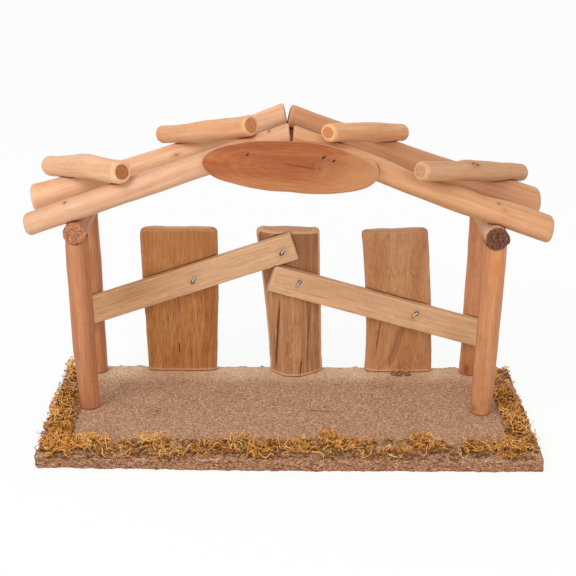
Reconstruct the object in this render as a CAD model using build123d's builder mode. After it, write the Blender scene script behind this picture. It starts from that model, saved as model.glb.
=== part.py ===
"""Rustic wooden stable for a nativity scene, in millimetres, +Z up and the open front facing -Y.

A fibreboard base carries four peeled posts. Two plate logs lie front to back in the coped post
tops and, with a ridge log, carry two pairs of rafters. Four roof sticks cross the rafters aslant,
an oval plaque closes the gable, and three planks tied by two rails form the back wall.
"""

import os
from math import asin, atan2, cos, hypot, radians, sin, tan

from build123d import *

os.makedirs("parts", exist_ok=True)

# Base board, centred on the origin with its underside at z = 0
base_width = 300.0
base_depth = 122.0
base_thickness = 7.5
base_corner_radius = 4.0

# Posts: distance of each axis from the nearer side edge, and depth from front to back
front_left_post_inset = 22.5
front_right_post_inset = 28.0
back_left_post_inset = 21.0
back_right_post_inset = 27.7
front_left_post_y = 3.0
front_right_post_y = -1.5
back_post_edge_gap = 0.3
left_post_foot_d = 11.8
left_post_mid_d = 13.4
left_post_top_d = 12.8
right_post_foot_d = 13.4
right_post_mid_d = 14.0
right_post_top_d = 14.2
back_post_foot_d = 12.2
back_post_mid_d = 12.6
back_post_top_d = 12.4
post_foot_round = 1.0
post_top_round = 0.3
post_cope_depth = 3.0

# Plate logs on the posts, heights above the top of the base
plate_height = 119.2
left_plate_d = 13.6
right_plate_d = 14.0
plate_front_reach = 8.0
plate_back_reach = 7.6
plate_end_round = 0.8

# Ridge log
ridge_height = 165.8
ridge_x = -1.6
ridge_d = 12.0
ridge_front_reach = 5.0
ridge_back_reach = 6.0
ridge_end_round = 0.6

# Rafters: diameters at the eave end, over the plate, between and at the ridge; runs from the plate
front_rafter_y = 1.5
back_rafter_y = 45.5
rafter_seat = 0.5
rafter_ridge_gap = 0.6
rafter_ridge_round = 0.7
front_left_eave_d = 13.6
front_left_plate_d = 13.9
front_left_mid_d = 14.4
front_left_mid_run = 66.0
front_left_ridge_d = 13.6
front_left_overhang = 27.5
front_left_eave_round = 3.2
front_right_eave_d = 15.6
front_right_plate_d = 15.2
front_right_knot_d = 15.4
front_right_neck_d = 12.4
front_right_shaft_d = 13.4
front_right_ridge_d = 13.2
front_right_overhang = 31.5
front_right_eave_round = 2.4
front_right_knot_run = 21.5
front_right_neck_run = 51.0
front_right_shaft_run = 91.0
front_right_knot_sag = 0.8
front_right_neck_sag = 2.2
front_right_shaft_sag = 0.6
back_left_eave_d = 16.0
back_left_plate_d = 15.6
back_left_mid_d = 14.4
back_left_mid_run = 66.0
back_left_ridge_d = 13.6
back_left_overhang = 33.5
back_left_eave_round = 3.0
back_right_eave_d = 15.8
back_right_plate_d = 15.4
back_right_mid_d = 14.6
back_right_mid_run = 62.0
back_right_ridge_d = 13.6
back_right_overhang = 34.5
back_right_eave_round = 4.0

# Roof sticks: distance from the ridge of the crossing on each rafter, reach past it and diameters
stick_spans = 9
stick_seat = 0.6
stick_end_round = 1.2
upper_left_front_run = 22.0
upper_left_back_run = 65.8
upper_left_front_reach = 5.0
upper_left_back_reach = 16.0
upper_left_front_d = 12.2
upper_left_mid_d = 12.6
upper_left_back_d = 10.6
upper_left_bow = 0.5
lower_left_front_run = 98.4
lower_left_back_run = 132.4
lower_left_front_reach = 13.0
lower_left_back_reach = 23.0
lower_left_front_d = 14.0
lower_left_mid_d = 15.2
lower_left_back_d = 12.8
lower_left_bow = 1.4
upper_right_front_run = 26.6
upper_right_back_run = 59.0
upper_right_front_reach = 15.0
upper_right_back_reach = 16.0
upper_right_front_d = 11.0
upper_right_mid_d = 11.8
upper_right_back_d = 11.0
upper_right_bow = 0.4
lower_right_front_run = 88.3
lower_right_back_run = 128.7
lower_right_front_reach = 27.0
lower_right_back_reach = 22.0
lower_right_front_d = 11.6
lower_right_mid_d = 12.8
lower_right_back_d = 11.6
lower_right_bow = 0.8

# Oval plaque on the gable: it hangs below the front end of the upper right roof stick
plaque_width = 102.0
plaque_height = 31.4
plaque_thickness = 7.5
plaque_tilt = -3.6
plaque_shift_x = 1.0
plaque_stick_gap = 0.5
plaque_seat = 0.8
plaque_edge_round = 1.6

# Rails of the back wall: heights above the base on the middle line, the right one under the left
rail_width = 16.8
rail_thickness = 6.2
rail_edge_round = 0.5
rail_seat = 0.5
left_rail_post_height = 49.0
left_rail_end_height = 94.8
left_rail_end_x = 2.9
left_rail_post_reach = 8.0
right_rail_fall = 15.7
right_rail_end_x = -12.1
right_rail_post_reach = 9.0
rail_gap = 0.6

# Planks of the back wall: edges from the middle of the base, at the foot and at the top
plank_thickness = 7.6
plank_edge_round = 1.8
plank_top_round = 1.2
left_plank_foot_left = -92.5
left_plank_foot_right = -49.0
left_plank_top_left = -95.8
left_plank_top_right = -46.8
left_plank_bow = 1.0
left_plank_height = 102.5
middle_plank_foot_left = -11.7
middle_plank_foot_right = 21.6
middle_plank_top_left = -21.0
middle_plank_top_right = 19.0
middle_plank_bow = 0.8
middle_plank_height = 102.0
middle_plank_cheek = 5.6
right_plank_foot_left = 52.5
right_plank_foot_right = 97.0
right_plank_top_left = 47.4
right_plank_top_right = 89.0
right_plank_bow = 1.2
right_plank_height = 103.5

# Staples
staple_crown = 6.0
staple_wire = 1.2
staple_proud = 0.25
rail_staple_leg = 11.5
plaque_staple_leg = 12.5
ridge_staple_leg = 18.0
left_rail_staple_runs = (78.8, 139.8)
left_rail_staple_turns = (62.0, 58.0)
right_rail_staple_runs = (18.0, 97.5)
right_rail_staple_turns = (66.0, 60.0)
rail_staple_rise = 2.0
plaque_staple_spots = ((-25.1, 7.6), (18.6, 6.2), (24.4, 4.2))
plaque_staple_turn = 42.0
ridge_staple_run = 9.0
ridge_staple_turn = 62.0

# Nails and brads
brad_d = 1.4
brad_head_d = 2.0
brad_head_thickness = 0.8
brad_sink = 0.2
brad_shift = 3.0
rafter_brad_length = 19.5
stick_brad_length = 22.0
stick_brad_shift = 2.0
plate_brad_length = 26.0
nail_d = 2.0
nail_head_d = 4.4
nail_head_thickness = 1.0
post_nail_length = 26.0
plank_nail_length = 20.0
plank_nail_spread = 22.0
plank_nail_shift = -0.4

# Moss along the edges of the base: width, height and distance of the strip from the edge
moss_edge_gap = 1.5
front_moss_width = 18.0
front_moss_height = 6.5
front_moss_length = 250.0
front_moss_shift = 4.0
side_moss_width = 13.0
side_moss_height = 6.0
left_moss_length = 112.0
right_moss_length = 110.0
side_moss_shift = 1.0
moss_wave = 0.1
moss_end_share = 0.6
moss_tuft_width = 10.0
moss_tuft_depth = 5.0
moss_tuft_height = 2.4
moss_tuft_x = 76.0
moss_tuft_gap = 0.2

# Places that follow from the sizes above
base_top = base_thickness
plate_z = base_top + plate_height
ridge_z = base_top + ridge_height
front_left_post_x = front_left_post_inset - base_width / 2
front_right_post_x = base_width / 2 - front_right_post_inset
back_left_post_x = back_left_post_inset - base_width / 2
back_right_post_x = base_width / 2 - back_right_post_inset
back_post_y = base_depth / 2 - back_post_edge_gap - back_post_mid_d / 2
rail_back_y = back_post_y - back_post_mid_d / 2 + rail_seat
plank_back_y = base_depth / 2


def plate_x(left_side, y):
    """Middle line of a plate log at depth y: it runs over the axes of its two posts."""
    if left_side:
        front_x, back_x, front_y = front_left_post_x, back_left_post_x, front_left_post_y
    else:
        front_x, back_x, front_y = front_right_post_x, back_right_post_x, front_right_post_y
    return front_x + (back_x - front_x) * (y - front_y) / (back_post_y - front_y)


def stick(axis, stations, start_round, end_round):
    """A peeled stick along the z of the plane axis; each station is (run, diameter, lift)."""
    with BuildPart() as wood:
        for run, diameter, lift in stations:
            with BuildSketch(axis.offset(run)):
                with Locations((0, lift)):
                    Circle(diameter / 2)
        loft(ruled=True)
        ends = wood.faces().filter_by(GeomType.PLANE).sort_by(Axis(axis.origin, axis.z_dir))
        fillet(ends[0].edges(), start_round)
        ends = wood.faces().filter_by(GeomType.PLANE).sort_by(Axis(axis.origin, axis.z_dir))
        fillet(ends[-1].edges(), end_round)
    return wood.part


def station_at(stations, run):
    """Diameter and lift of a stick at a distance along it, eased between its stations."""
    for (run_a, d_a, lift_a), (run_b, d_b, lift_b) in zip(stations, stations[1:]):
        if run_a <= run <= run_b:
            share = (run - run_a) / (run_b - run_a)
            share = share * share * (3 - 2 * share)
            return d_a + (d_b - d_a) * share, lift_a + (lift_b - lift_a) * share
    return stations[-1][1], stations[-1][2]


def evened(stations):
    """Stations at even runs along an uneven stick, so that its surface flows through them."""
    first, last = stations[0][0], stations[-1][0]
    runs = [first + (last - first) * number / stick_spans for number in range(stick_spans)]
    return [(run, *station_at(stations, run)) for run in runs] + [stations[-1]]


class Rafter:
    """Axis and stations of one rafter, laid on its plate log and on the ridge log."""

    def __init__(self, left_side, y, overhang, eave_d, plate_end_d, middle, ridge_end_d):
        self.side = 1 if left_side else -1
        self.y = y
        plate_d = left_plate_d if left_side else right_plate_d
        seat_x = plate_x(left_side, y)
        plate_rise = (plate_d + plate_end_d) / 2 - rafter_seat
        ridge_rise = (ridge_d + ridge_end_d) / 2 - rafter_seat
        run = self.side * (ridge_x - seat_x)
        rise = ridge_z - plate_z
        pitch = atan2(rise, run) - asin((plate_rise - ridge_rise) / hypot(run, rise))
        self.pitch = pitch
        self.along = Vector(self.side * cos(pitch), 0, sin(pitch))
        self.normal = Vector(-self.side * sin(pitch), 0, cos(pitch))
        origin = Vector(seat_x, y, plate_z) + self.normal * plate_rise
        self.axis = Plane(origin, x_dir=(0, self.side, 0), z_dir=self.along)
        to_ridge = self.side * (ridge_x - origin.X) - rafter_ridge_gap / 2
        length = (to_ridge - ridge_end_d / 2 * sin(pitch)) / cos(pitch)
        stations = [(-overhang, eave_d, 0), (0, plate_end_d, 0)]
        stations += [(middle_run, d, -sag) for middle_run, d, sag in middle]
        self.stations = evened(stations + [(length, ridge_end_d, 0)])

    def run_at(self, distance):
        """Distance along the axis of the point that lies this far sideways from the ridge."""
        return (self.side * (ridge_x - self.axis.origin.X) - distance) / cos(self.pitch)

    def top(self, run):
        """Radius of the rafter at a run, and the point of its middle line there."""
        diameter, lift = station_at(self.stations, run)
        return diameter / 2, self.axis.origin + self.along * run + self.normal * lift


front_left = Rafter(
    True,
    front_rafter_y,
    front_left_overhang,
    front_left_eave_d,
    front_left_plate_d,
    [(front_left_mid_run, front_left_mid_d, 0)],
    front_left_ridge_d,
)
front_right = Rafter(
    False,
    front_rafter_y,
    front_right_overhang,
    front_right_eave_d,
    front_right_plate_d,
    [
        (front_right_knot_run, front_right_knot_d, front_right_knot_sag),
        (front_right_neck_run, front_right_neck_d, front_right_neck_sag),
        (front_right_shaft_run, front_right_shaft_d, front_right_shaft_sag),
    ],
    front_right_ridge_d,
)
back_left = Rafter(
    True,
    back_rafter_y,
    back_left_overhang,
    back_left_eave_d,
    back_left_plate_d,
    [(back_left_mid_run, back_left_mid_d, 0)],
    back_left_ridge_d,
)
back_right = Rafter(
    False,
    back_rafter_y,
    back_right_overhang,
    back_right_eave_d,
    back_right_plate_d,
    [(back_right_mid_run, back_right_mid_d, 0)],
    back_right_ridge_d,
)


class RoofStick:
    """Axis and stations of one roof stick, laid across a front and a back rafter."""

    def __init__(self, front, back, front_run, back_run, front_reach, back_reach, sizes, bow):
        front_d, mid_d, back_d = sizes
        self.normal = (front.normal + back.normal).normalized()
        self.crossings = []
        for rafter, run, diameter in ((front, front_run, front_d), (back, back_run, back_d)):
            radius, middle = rafter.top(rafter.run_at(run))
            self.crossings.append(middle + self.normal * (radius + diameter / 2 - stick_seat))
        start, end = self.crossings
        self.along = (end - start).normalized()
        span = (end - start).length
        side = self.normal.cross(self.along)
        self.axis = Plane(start, x_dir=side, z_dir=self.along)
        self.stations = evened(
            [
                (-front_reach, front_d, 0),
                (0, front_d, 0),
                (span / 2, mid_d, bow),
                (span, back_d, 0),
                (span + back_reach, back_d, -bow),
            ]
        )
        self.tops = (
            start + self.along * stick_brad_shift + self.normal * (front_d / 2),
            end - self.along * stick_brad_shift + self.normal * (back_d / 2),
        )


upper_left = RoofStick(
    front_left,
    back_left,
    upper_left_front_run,
    upper_left_back_run,
    upper_left_front_reach,
    upper_left_back_reach,
    (upper_left_front_d, upper_left_mid_d, upper_left_back_d),
    upper_left_bow,
)
lower_left = RoofStick(
    front_left,
    back_left,
    lower_left_front_run,
    lower_left_back_run,
    lower_left_front_reach,
    lower_left_back_reach,
    (lower_left_front_d, lower_left_mid_d, lower_left_back_d),
    lower_left_bow,
)
upper_right = RoofStick(
    front_right,
    back_right,
    upper_right_front_run,
    upper_right_back_run,
    upper_right_front_reach,
    upper_right_back_reach,
    (upper_right_front_d, upper_right_mid_d, upper_right_back_d),
    upper_right_bow,
)
lower_right = RoofStick(
    front_right,
    back_right,
    lower_right_front_run,
    lower_right_back_run,
    lower_right_front_reach,
    lower_right_back_reach,
    (lower_right_front_d, lower_right_mid_d, lower_right_back_d),
    lower_right_bow,
)


class Rail:
    """Front face of one rail: a plane at its start whose x runs along the lath."""

    def __init__(self, start_x, start_height, end_x, end_height, start_reach, end_reach):
        slope = atan2(end_height - start_height, end_x - start_x)
        along = Vector(cos(slope), 0, sin(slope))
        self.length = hypot(end_x - start_x, end_height - start_height) + start_reach + end_reach
        start = Vector(start_x, rail_back_y - rail_thickness, base_top + start_height)
        self.face = Plane(start - along * start_reach, x_dir=along, z_dir=(0, -1, 0))
        self.slope = slope
        self.start = start

    def height_at(self, x):
        """Height of the middle line of the rail above the floor at this x."""
        return self.start.Z + (x - self.start.X) * sin(self.slope) / cos(self.slope)


left_lath = Rail(
    back_left_post_x,
    left_rail_post_height,
    left_rail_end_x,
    left_rail_end_height,
    left_rail_post_reach,
    0,
)
right_slope = radians(right_rail_fall)
right_corner_x = right_rail_end_x + rail_width / 2 * sin(right_slope)
right_corner_drop = (rail_width / 2 + rail_gap) / cos(left_lath.slope)
right_corner_height = left_lath.height_at(right_corner_x) - base_top - right_corner_drop
right_rail_end_height = right_corner_height - rail_width / 2 * cos(right_slope)
right_rail_span = back_right_post_x - right_rail_end_x
right_lath = Rail(
    right_rail_end_x,
    right_rail_end_height,
    back_right_post_x,
    right_rail_end_height - right_rail_span * tan(right_slope),
    0,
    right_rail_post_reach,
)


def staple(spot, leg):
    """A staple driven along -z of the plane spot, with its crown along x."""
    with BuildPart() as wire:
        with BuildSketch(spot.offset(staple_proud)):
            Rectangle(staple_crown, staple_wire)
        extrude(amount=-staple_wire)
        with BuildSketch(spot.offset(staple_proud)):
            with GridLocations(staple_crown - staple_wire, 0, 2, 1):
                Rectangle(staple_wire, staple_wire)
        extrude(amount=-leg)
    return wire.part


def nail(spot, shank_d, length, head_d, head_thickness):
    """A nail driven along -z of the plane spot, with the top of its head in that plane."""
    with BuildPart() as wire:
        with BuildSketch(spot):
            Circle(head_d / 2)
        extrude(amount=-head_thickness)
        with BuildSketch(spot):
            Circle(shank_d / 2)
        extrude(amount=-length)
    return wire.part


def turned(face, x, y, angle):
    """The plane face moved to (x, y) within itself and turned about its own z."""
    return Plane(face.location * Pos(x, y, 0) * Rot(0, 0, angle))


# Fasteners first, so that every piece they pass through is cut to their shape

rafters = (front_left, front_right, back_left, back_right)
roof_sticks = (upper_left, lower_left, upper_right, lower_right)

with BuildPart() as rafter_brads:
    for rafter in rafters:
        radius, middle = rafter.top(0)
        crown = (radius**2 - brad_shift**2) ** 0.5 - brad_sink
        outward = -brad_shift if rafter.y == front_rafter_y else brad_shift
        top = middle + rafter.normal * crown + Vector(0, outward, 0)
        brad_spot = Plane(top, z_dir=rafter.normal)
        add(nail(brad_spot, brad_d, rafter_brad_length, brad_head_d, brad_head_thickness))

with BuildPart() as stick_brads:
    for roof_stick in roof_sticks:
        for top in roof_stick.tops:
            brad_spot = Plane(top - roof_stick.normal * brad_sink, z_dir=roof_stick.normal)
            add(nail(brad_spot, brad_d, stick_brad_length, brad_head_d, brad_head_thickness))

with BuildPart() as ridge_staples:
    for rafter in rafters:
        radius, middle = rafter.top(rafter.run_at(ridge_staple_run))
        face = Plane(middle + rafter.normal * radius, x_dir=rafter.along, z_dir=rafter.normal)
        bend = radius - (radius**2 - (staple_crown / 2) ** 2) ** 0.5
        sunk = face.offset(-bend)
        add(staple(turned(sunk, 0, 0, rafter.side * ridge_staple_turn), ridge_staple_leg))

with BuildPart() as plate_brads:
    for left_side, post_y in (
        (True, front_left_post_y),
        (False, front_right_post_y),
        (True, back_post_y),
        (False, back_post_y),
    ):
        plate_d = left_plate_d if left_side else right_plate_d
        brad_y = post_y + brad_shift
        top = Vector(plate_x(left_side, brad_y), brad_y, plate_z + plate_d / 2 - brad_sink)
        add(nail(Plane(top), brad_d, plate_brad_length, brad_head_d, brad_head_thickness))

post_feet = (
    (front_left_post_x, front_left_post_y),
    (front_right_post_x, front_right_post_y),
    (back_left_post_x, back_post_y),
    (back_right_post_x, back_post_y),
)
underside = Plane((0, 0, 0), x_dir=(1, 0, 0), z_dir=(0, 0, -1))

with BuildPart() as post_nails:
    for x, y in post_feet:
        spot = Plane((x, y, 0), x_dir=(1, 0, 0), z_dir=underside.z_dir)
        add(nail(spot, nail_d, post_nail_length, nail_head_d, nail_head_thickness))

plank_feet = (
    (left_plank_foot_left + left_plank_foot_right) / 2,
    (middle_plank_foot_left + middle_plank_foot_right) / 2,
    (right_plank_foot_left + right_plank_foot_right) / 2,
)
plank_nail_y = plank_back_y - plank_thickness / 2 + plank_nail_shift

with BuildPart() as plank_nails:
    for foot_x in plank_feet:
        for x in (foot_x - plank_nail_spread / 2, foot_x + plank_nail_spread / 2):
            spot = Plane((x, plank_nail_y, 0), x_dir=(1, 0, 0), z_dir=underside.z_dir)
            add(nail(spot, brad_d, plank_nail_length, nail_head_d, nail_head_thickness))

with BuildPart() as rail_staples:
    for run, turn in zip(left_rail_staple_runs, left_rail_staple_turns):
        add(staple(turned(left_lath.face, run, 0, turn), rail_staple_leg))
    for run, turn in zip(right_rail_staple_runs, right_rail_staple_turns):
        add(staple(turned(right_lath.face, run, rail_staple_rise, turn), rail_staple_leg))

plaque_x = ridge_x + plaque_shift_x
plaque_back_y = front_rafter_y - front_left_ridge_d / 2 + plaque_seat


def plaque_top(x):
    """Height of the upper rim of the tilted oval above its middle, at x from its middle."""
    half_width, half_height, tilt = plaque_width / 2, plaque_height / 2, radians(plaque_tilt)
    spread = (half_width * cos(tilt)) ** 2 + (half_height * sin(tilt)) ** 2
    lean = x * (half_width**2 - half_height**2) * sin(tilt) * cos(tilt)
    return (lean + half_width * half_height * (spread - x**2) ** 0.5) / spread


def plaque_middle_z():
    """Height at which the plaque's rim clears the underside of the upper right roof stick."""
    stick_axis, along = upper_right.axis, upper_right.along
    middle_y = plaque_back_y - plaque_thickness / 2
    over = stick_axis.origin + along * ((middle_y - stick_axis.origin.Y) / along.Y)
    underside_z = over.Z - upper_right_front_d / 2 / (1 - along.Z**2) ** 0.5
    return underside_z - plaque_stick_gap - plaque_top(over.X - plaque_x)


plaque_face = Plane(
    (plaque_x, plaque_back_y - plaque_thickness, plaque_middle_z()),
    x_dir=(1, 0, 0),
    z_dir=(0, -1, 0),
)

with BuildPart() as plaque_staples:
    for x, y in plaque_staple_spots:
        add(staple(turned(plaque_face, x, y, plaque_staple_turn), plaque_staple_leg))

# Frame: base, plates, ridge and posts

with BuildPart() as base_board:
    with BuildSketch():
        RectangleRounded(base_width, base_depth, base_corner_radius)
    extrude(amount=base_thickness)
    add(post_nails.part, mode=Mode.SUBTRACT)
    add(plank_nails.part, mode=Mode.SUBTRACT)


def plate_axis(left_side, front_y):
    """Plane at the front end of a plate log with z along the log, and the length of the log."""
    start = Vector(plate_x(left_side, front_y), front_y, plate_z)
    end_y = back_post_y + plate_back_reach
    end = Vector(plate_x(left_side, end_y), end_y, plate_z)
    return Plane(start, x_dir=(-1, 0, 0), z_dir=end - start), (end - start).length


left_plate_axis, left_plate_length = plate_axis(True, front_left_post_y - plate_front_reach)
right_plate_axis, right_plate_length = plate_axis(False, front_right_post_y - plate_front_reach)

with BuildPart() as left_plate_log:
    add(
        stick(
            left_plate_axis,
            [(0, left_plate_d, 0), (left_plate_length, left_plate_d, 0)],
            plate_end_round,
            plate_end_round,
        )
    )
    add(plate_brads.part, mode=Mode.SUBTRACT)
    add(rafter_brads.part, mode=Mode.SUBTRACT)

with BuildPart() as right_plate_log:
    add(
        stick(
            right_plate_axis,
            [(0, right_plate_d, 0), (right_plate_length, right_plate_d, 0)],
            plate_end_round,
            plate_end_round,
        )
    )
    add(plate_brads.part, mode=Mode.SUBTRACT)
    add(rafter_brads.part, mode=Mode.SUBTRACT)

ridge_start_y = front_rafter_y - ridge_front_reach
ridge_end_y = back_rafter_y + ridge_back_reach

with BuildPart() as ridge_log:
    add(
        stick(
            Plane((ridge_x, ridge_start_y, ridge_z), x_dir=(-1, 0, 0), z_dir=(0, 1, 0)),
            [(0, ridge_d, 0), (ridge_end_y - ridge_start_y, ridge_d, 0)],
            ridge_end_round,
            ridge_end_round,
        )
    )
    add(ridge_staples.part, mode=Mode.SUBTRACT)


def post(x, y, foot_d, mid_d, top_d, plate_d):
    """A post from the base to the level where its coped top meets the plate log."""
    height = plate_height - plate_d / 2 + post_cope_depth
    stations = [(0, foot_d, 0), (height / 2, mid_d, 0), (height, top_d, 0)]
    return stick(Plane((x, y, base_top)), stations, post_foot_round, post_top_round)


with BuildPart() as front_left_post:
    add(
        post(
            front_left_post_x,
            front_left_post_y,
            left_post_foot_d,
            left_post_mid_d,
            left_post_top_d,
            left_plate_d,
        )
    )
    add(left_plate_log.part, mode=Mode.SUBTRACT)
    add(plate_brads.part, mode=Mode.SUBTRACT)
    add(post_nails.part, mode=Mode.SUBTRACT)

with BuildPart() as front_right_post:
    add(
        post(
            front_right_post_x,
            front_right_post_y,
            right_post_foot_d,
            right_post_mid_d,
            right_post_top_d,
            right_plate_d,
        )
    )
    add(right_plate_log.part, mode=Mode.SUBTRACT)
    add(plate_brads.part, mode=Mode.SUBTRACT)
    add(post_nails.part, mode=Mode.SUBTRACT)

with BuildPart() as back_left_post:
    add(
        post(
            back_left_post_x,
            back_post_y,
            back_post_foot_d,
            back_post_mid_d,
            back_post_top_d,
            left_plate_d,
        )
    )
    add(left_plate_log.part, mode=Mode.SUBTRACT)
    add(plate_brads.part, mode=Mode.SUBTRACT)
    add(post_nails.part, mode=Mode.SUBTRACT)

with BuildPart() as back_right_post:
    add(
        post(
            back_right_post_x,
            back_post_y,
            back_post_foot_d,
            back_post_mid_d,
            back_post_top_d,
            right_plate_d,
        )
    )
    add(right_plate_log.part, mode=Mode.SUBTRACT)
    add(plate_brads.part, mode=Mode.SUBTRACT)
    add(post_nails.part, mode=Mode.SUBTRACT)

# Roof: rafters notched over plates and ridge, roof sticks notched over the rafters

with BuildPart() as front_left_rafter:
    add(stick(front_left.axis, front_left.stations, front_left_eave_round, rafter_ridge_round))
    add(left_plate_log.part, mode=Mode.SUBTRACT)
    add(ridge_log.part, mode=Mode.SUBTRACT)
    add(rafter_brads.part, mode=Mode.SUBTRACT)
    add(plate_brads.part, mode=Mode.SUBTRACT)
    add(stick_brads.part, mode=Mode.SUBTRACT)
    add(ridge_staples.part, mode=Mode.SUBTRACT)
    add(plaque_staples.part, mode=Mode.SUBTRACT)

with BuildPart() as front_right_rafter:
    add(stick(front_right.axis, front_right.stations, front_right_eave_round, rafter_ridge_round))
    add(right_plate_log.part, mode=Mode.SUBTRACT)
    add(ridge_log.part, mode=Mode.SUBTRACT)
    add(rafter_brads.part, mode=Mode.SUBTRACT)
    add(plate_brads.part, mode=Mode.SUBTRACT)
    add(stick_brads.part, mode=Mode.SUBTRACT)
    add(ridge_staples.part, mode=Mode.SUBTRACT)
    add(plaque_staples.part, mode=Mode.SUBTRACT)

with BuildPart() as back_left_rafter:
    add(stick(back_left.axis, back_left.stations, back_left_eave_round, rafter_ridge_round))
    add(left_plate_log.part, mode=Mode.SUBTRACT)
    add(ridge_log.part, mode=Mode.SUBTRACT)
    add(rafter_brads.part, mode=Mode.SUBTRACT)
    add(plate_brads.part, mode=Mode.SUBTRACT)
    add(stick_brads.part, mode=Mode.SUBTRACT)
    add(ridge_staples.part, mode=Mode.SUBTRACT)

with BuildPart() as back_right_rafter:
    add(stick(back_right.axis, back_right.stations, back_right_eave_round, rafter_ridge_round))
    add(right_plate_log.part, mode=Mode.SUBTRACT)
    add(ridge_log.part, mode=Mode.SUBTRACT)
    add(rafter_brads.part, mode=Mode.SUBTRACT)
    add(plate_brads.part, mode=Mode.SUBTRACT)
    add(stick_brads.part, mode=Mode.SUBTRACT)
    add(ridge_staples.part, mode=Mode.SUBTRACT)

with BuildPart() as upper_left_roof_stick:
    add(stick(upper_left.axis, upper_left.stations, stick_end_round, stick_end_round))
    add(front_left_rafter.part, mode=Mode.SUBTRACT)
    add(back_left_rafter.part, mode=Mode.SUBTRACT)
    add(rafter_brads.part, mode=Mode.SUBTRACT)
    add(stick_brads.part, mode=Mode.SUBTRACT)

with BuildPart() as lower_left_roof_stick:
    add(stick(lower_left.axis, lower_left.stations, stick_end_round, stick_end_round))
    add(front_left_rafter.part, mode=Mode.SUBTRACT)
    add(back_left_rafter.part, mode=Mode.SUBTRACT)
    add(rafter_brads.part, mode=Mode.SUBTRACT)
    add(stick_brads.part, mode=Mode.SUBTRACT)

with BuildPart() as upper_right_roof_stick:
    add(stick(upper_right.axis, upper_right.stations, stick_end_round, stick_end_round))
    add(front_right_rafter.part, mode=Mode.SUBTRACT)
    add(back_right_rafter.part, mode=Mode.SUBTRACT)
    add(rafter_brads.part, mode=Mode.SUBTRACT)
    add(stick_brads.part, mode=Mode.SUBTRACT)

with BuildPart() as lower_right_roof_stick:
    add(stick(lower_right.axis, lower_right.stations, stick_end_round, stick_end_round))
    add(front_right_rafter.part, mode=Mode.SUBTRACT)
    add(back_right_rafter.part, mode=Mode.SUBTRACT)
    add(rafter_brads.part, mode=Mode.SUBTRACT)
    add(stick_brads.part, mode=Mode.SUBTRACT)

with BuildPart() as oval_plaque:
    with BuildSketch(plaque_face):
        Ellipse(plaque_width / 2, plaque_height / 2, rotation=plaque_tilt)
    extrude(amount=-plaque_thickness)
    rims = oval_plaque.faces().filter_by(GeomType.PLANE).sort_by(Axis.Y)
    fillet(rims[0].edges(), plaque_edge_round)
    add(front_left_rafter.part, mode=Mode.SUBTRACT)
    add(front_right_rafter.part, mode=Mode.SUBTRACT)
    add(plaque_staples.part, mode=Mode.SUBTRACT)

# Back wall: planks leaning to meet the rails, then the rails cut to seat on planks and posts


def plank_plane(middle_x, lath):
    """Front face of an outer plank: it leans from the back edge to the back of its rail."""
    foot_y = plank_back_y - plank_thickness
    rail_z = lath.height_at(middle_x) - base_top
    lean = atan2(foot_y - rail_back_y, rail_z)
    return Plane((0, foot_y, base_top), x_dir=(1, 0, 0), z_dir=(0, -cos(lean), -sin(lean)))


def plank_outline(foot_left, foot_right, top_left, top_right, bow, height):
    """Face outline of a plank in the current sketch, its sides bowed like a waney edge."""
    with BuildSketch() as outline:
        with BuildLine():
            Line((foot_left, -plank_thickness), (foot_right, -plank_thickness))
            right_bow = ((foot_right + top_right) / 2 + bow, height / 2)
            ThreePointArc((foot_right, -plank_thickness), right_bow, (top_right, height))
            Line((top_right, height), (top_left, height))
            left_bow = ((foot_left + top_left) / 2 + bow, height / 2)
            ThreePointArc((top_left, height), left_bow, (foot_left, -plank_thickness))
        make_face()
    return outline.sketch


def plank(face, outline):
    """An outer plank: its outline carried back from the leaning face and cut off at the base."""
    with BuildPart() as board:
        with BuildSketch(face):
            add(outline)
        extrude(amount=-plank_thickness)
        split(bisect_by=Plane.XY.offset(base_top), keep=Keep.TOP)
        uprights = board.edges().filter_by(lambda edge: edge.bounding_box().size.Z > plate_height / 2)
        fillet(uprights, plank_edge_round)
        fillet(board.faces().sort_by(Axis.Z)[-1].edges(), plank_top_round)
    return board.part


left_plank_face = plank_plane((left_plank_foot_left + left_plank_foot_right) / 2, left_lath)
right_plank_face = plank_plane((right_plank_foot_left + right_plank_foot_right) / 2, right_lath)

with BuildPart() as left_plank:
    add(
        plank(
            left_plank_face,
            plank_outline(
                left_plank_foot_left,
                left_plank_foot_right,
                left_plank_top_left,
                left_plank_top_right,
                left_plank_bow,
                left_plank_height,
            ),
        )
    )
    add(plank_nails.part, mode=Mode.SUBTRACT)
    add(rail_staples.part, mode=Mode.SUBTRACT)

with BuildPart() as right_plank:
    add(
        plank(
            right_plank_face,
            plank_outline(
                right_plank_foot_left,
                right_plank_foot_right,
                right_plank_top_left,
                right_plank_top_right,
                right_plank_bow,
                right_plank_height,
            ),
        )
    )
    add(plank_nails.part, mode=Mode.SUBTRACT)
    add(rail_staples.part, mode=Mode.SUBTRACT)

middle_outline = plank_outline(
    middle_plank_foot_left,
    middle_plank_foot_right,
    middle_plank_top_left,
    middle_plank_top_right,
    middle_plank_bow,
    middle_plank_height,
)
middle_left = min(middle_plank_foot_left, middle_plank_top_left)
middle_right = max(middle_plank_foot_right, middle_plank_top_right)
cheek_y = plank_back_y - middle_plank_cheek

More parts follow.
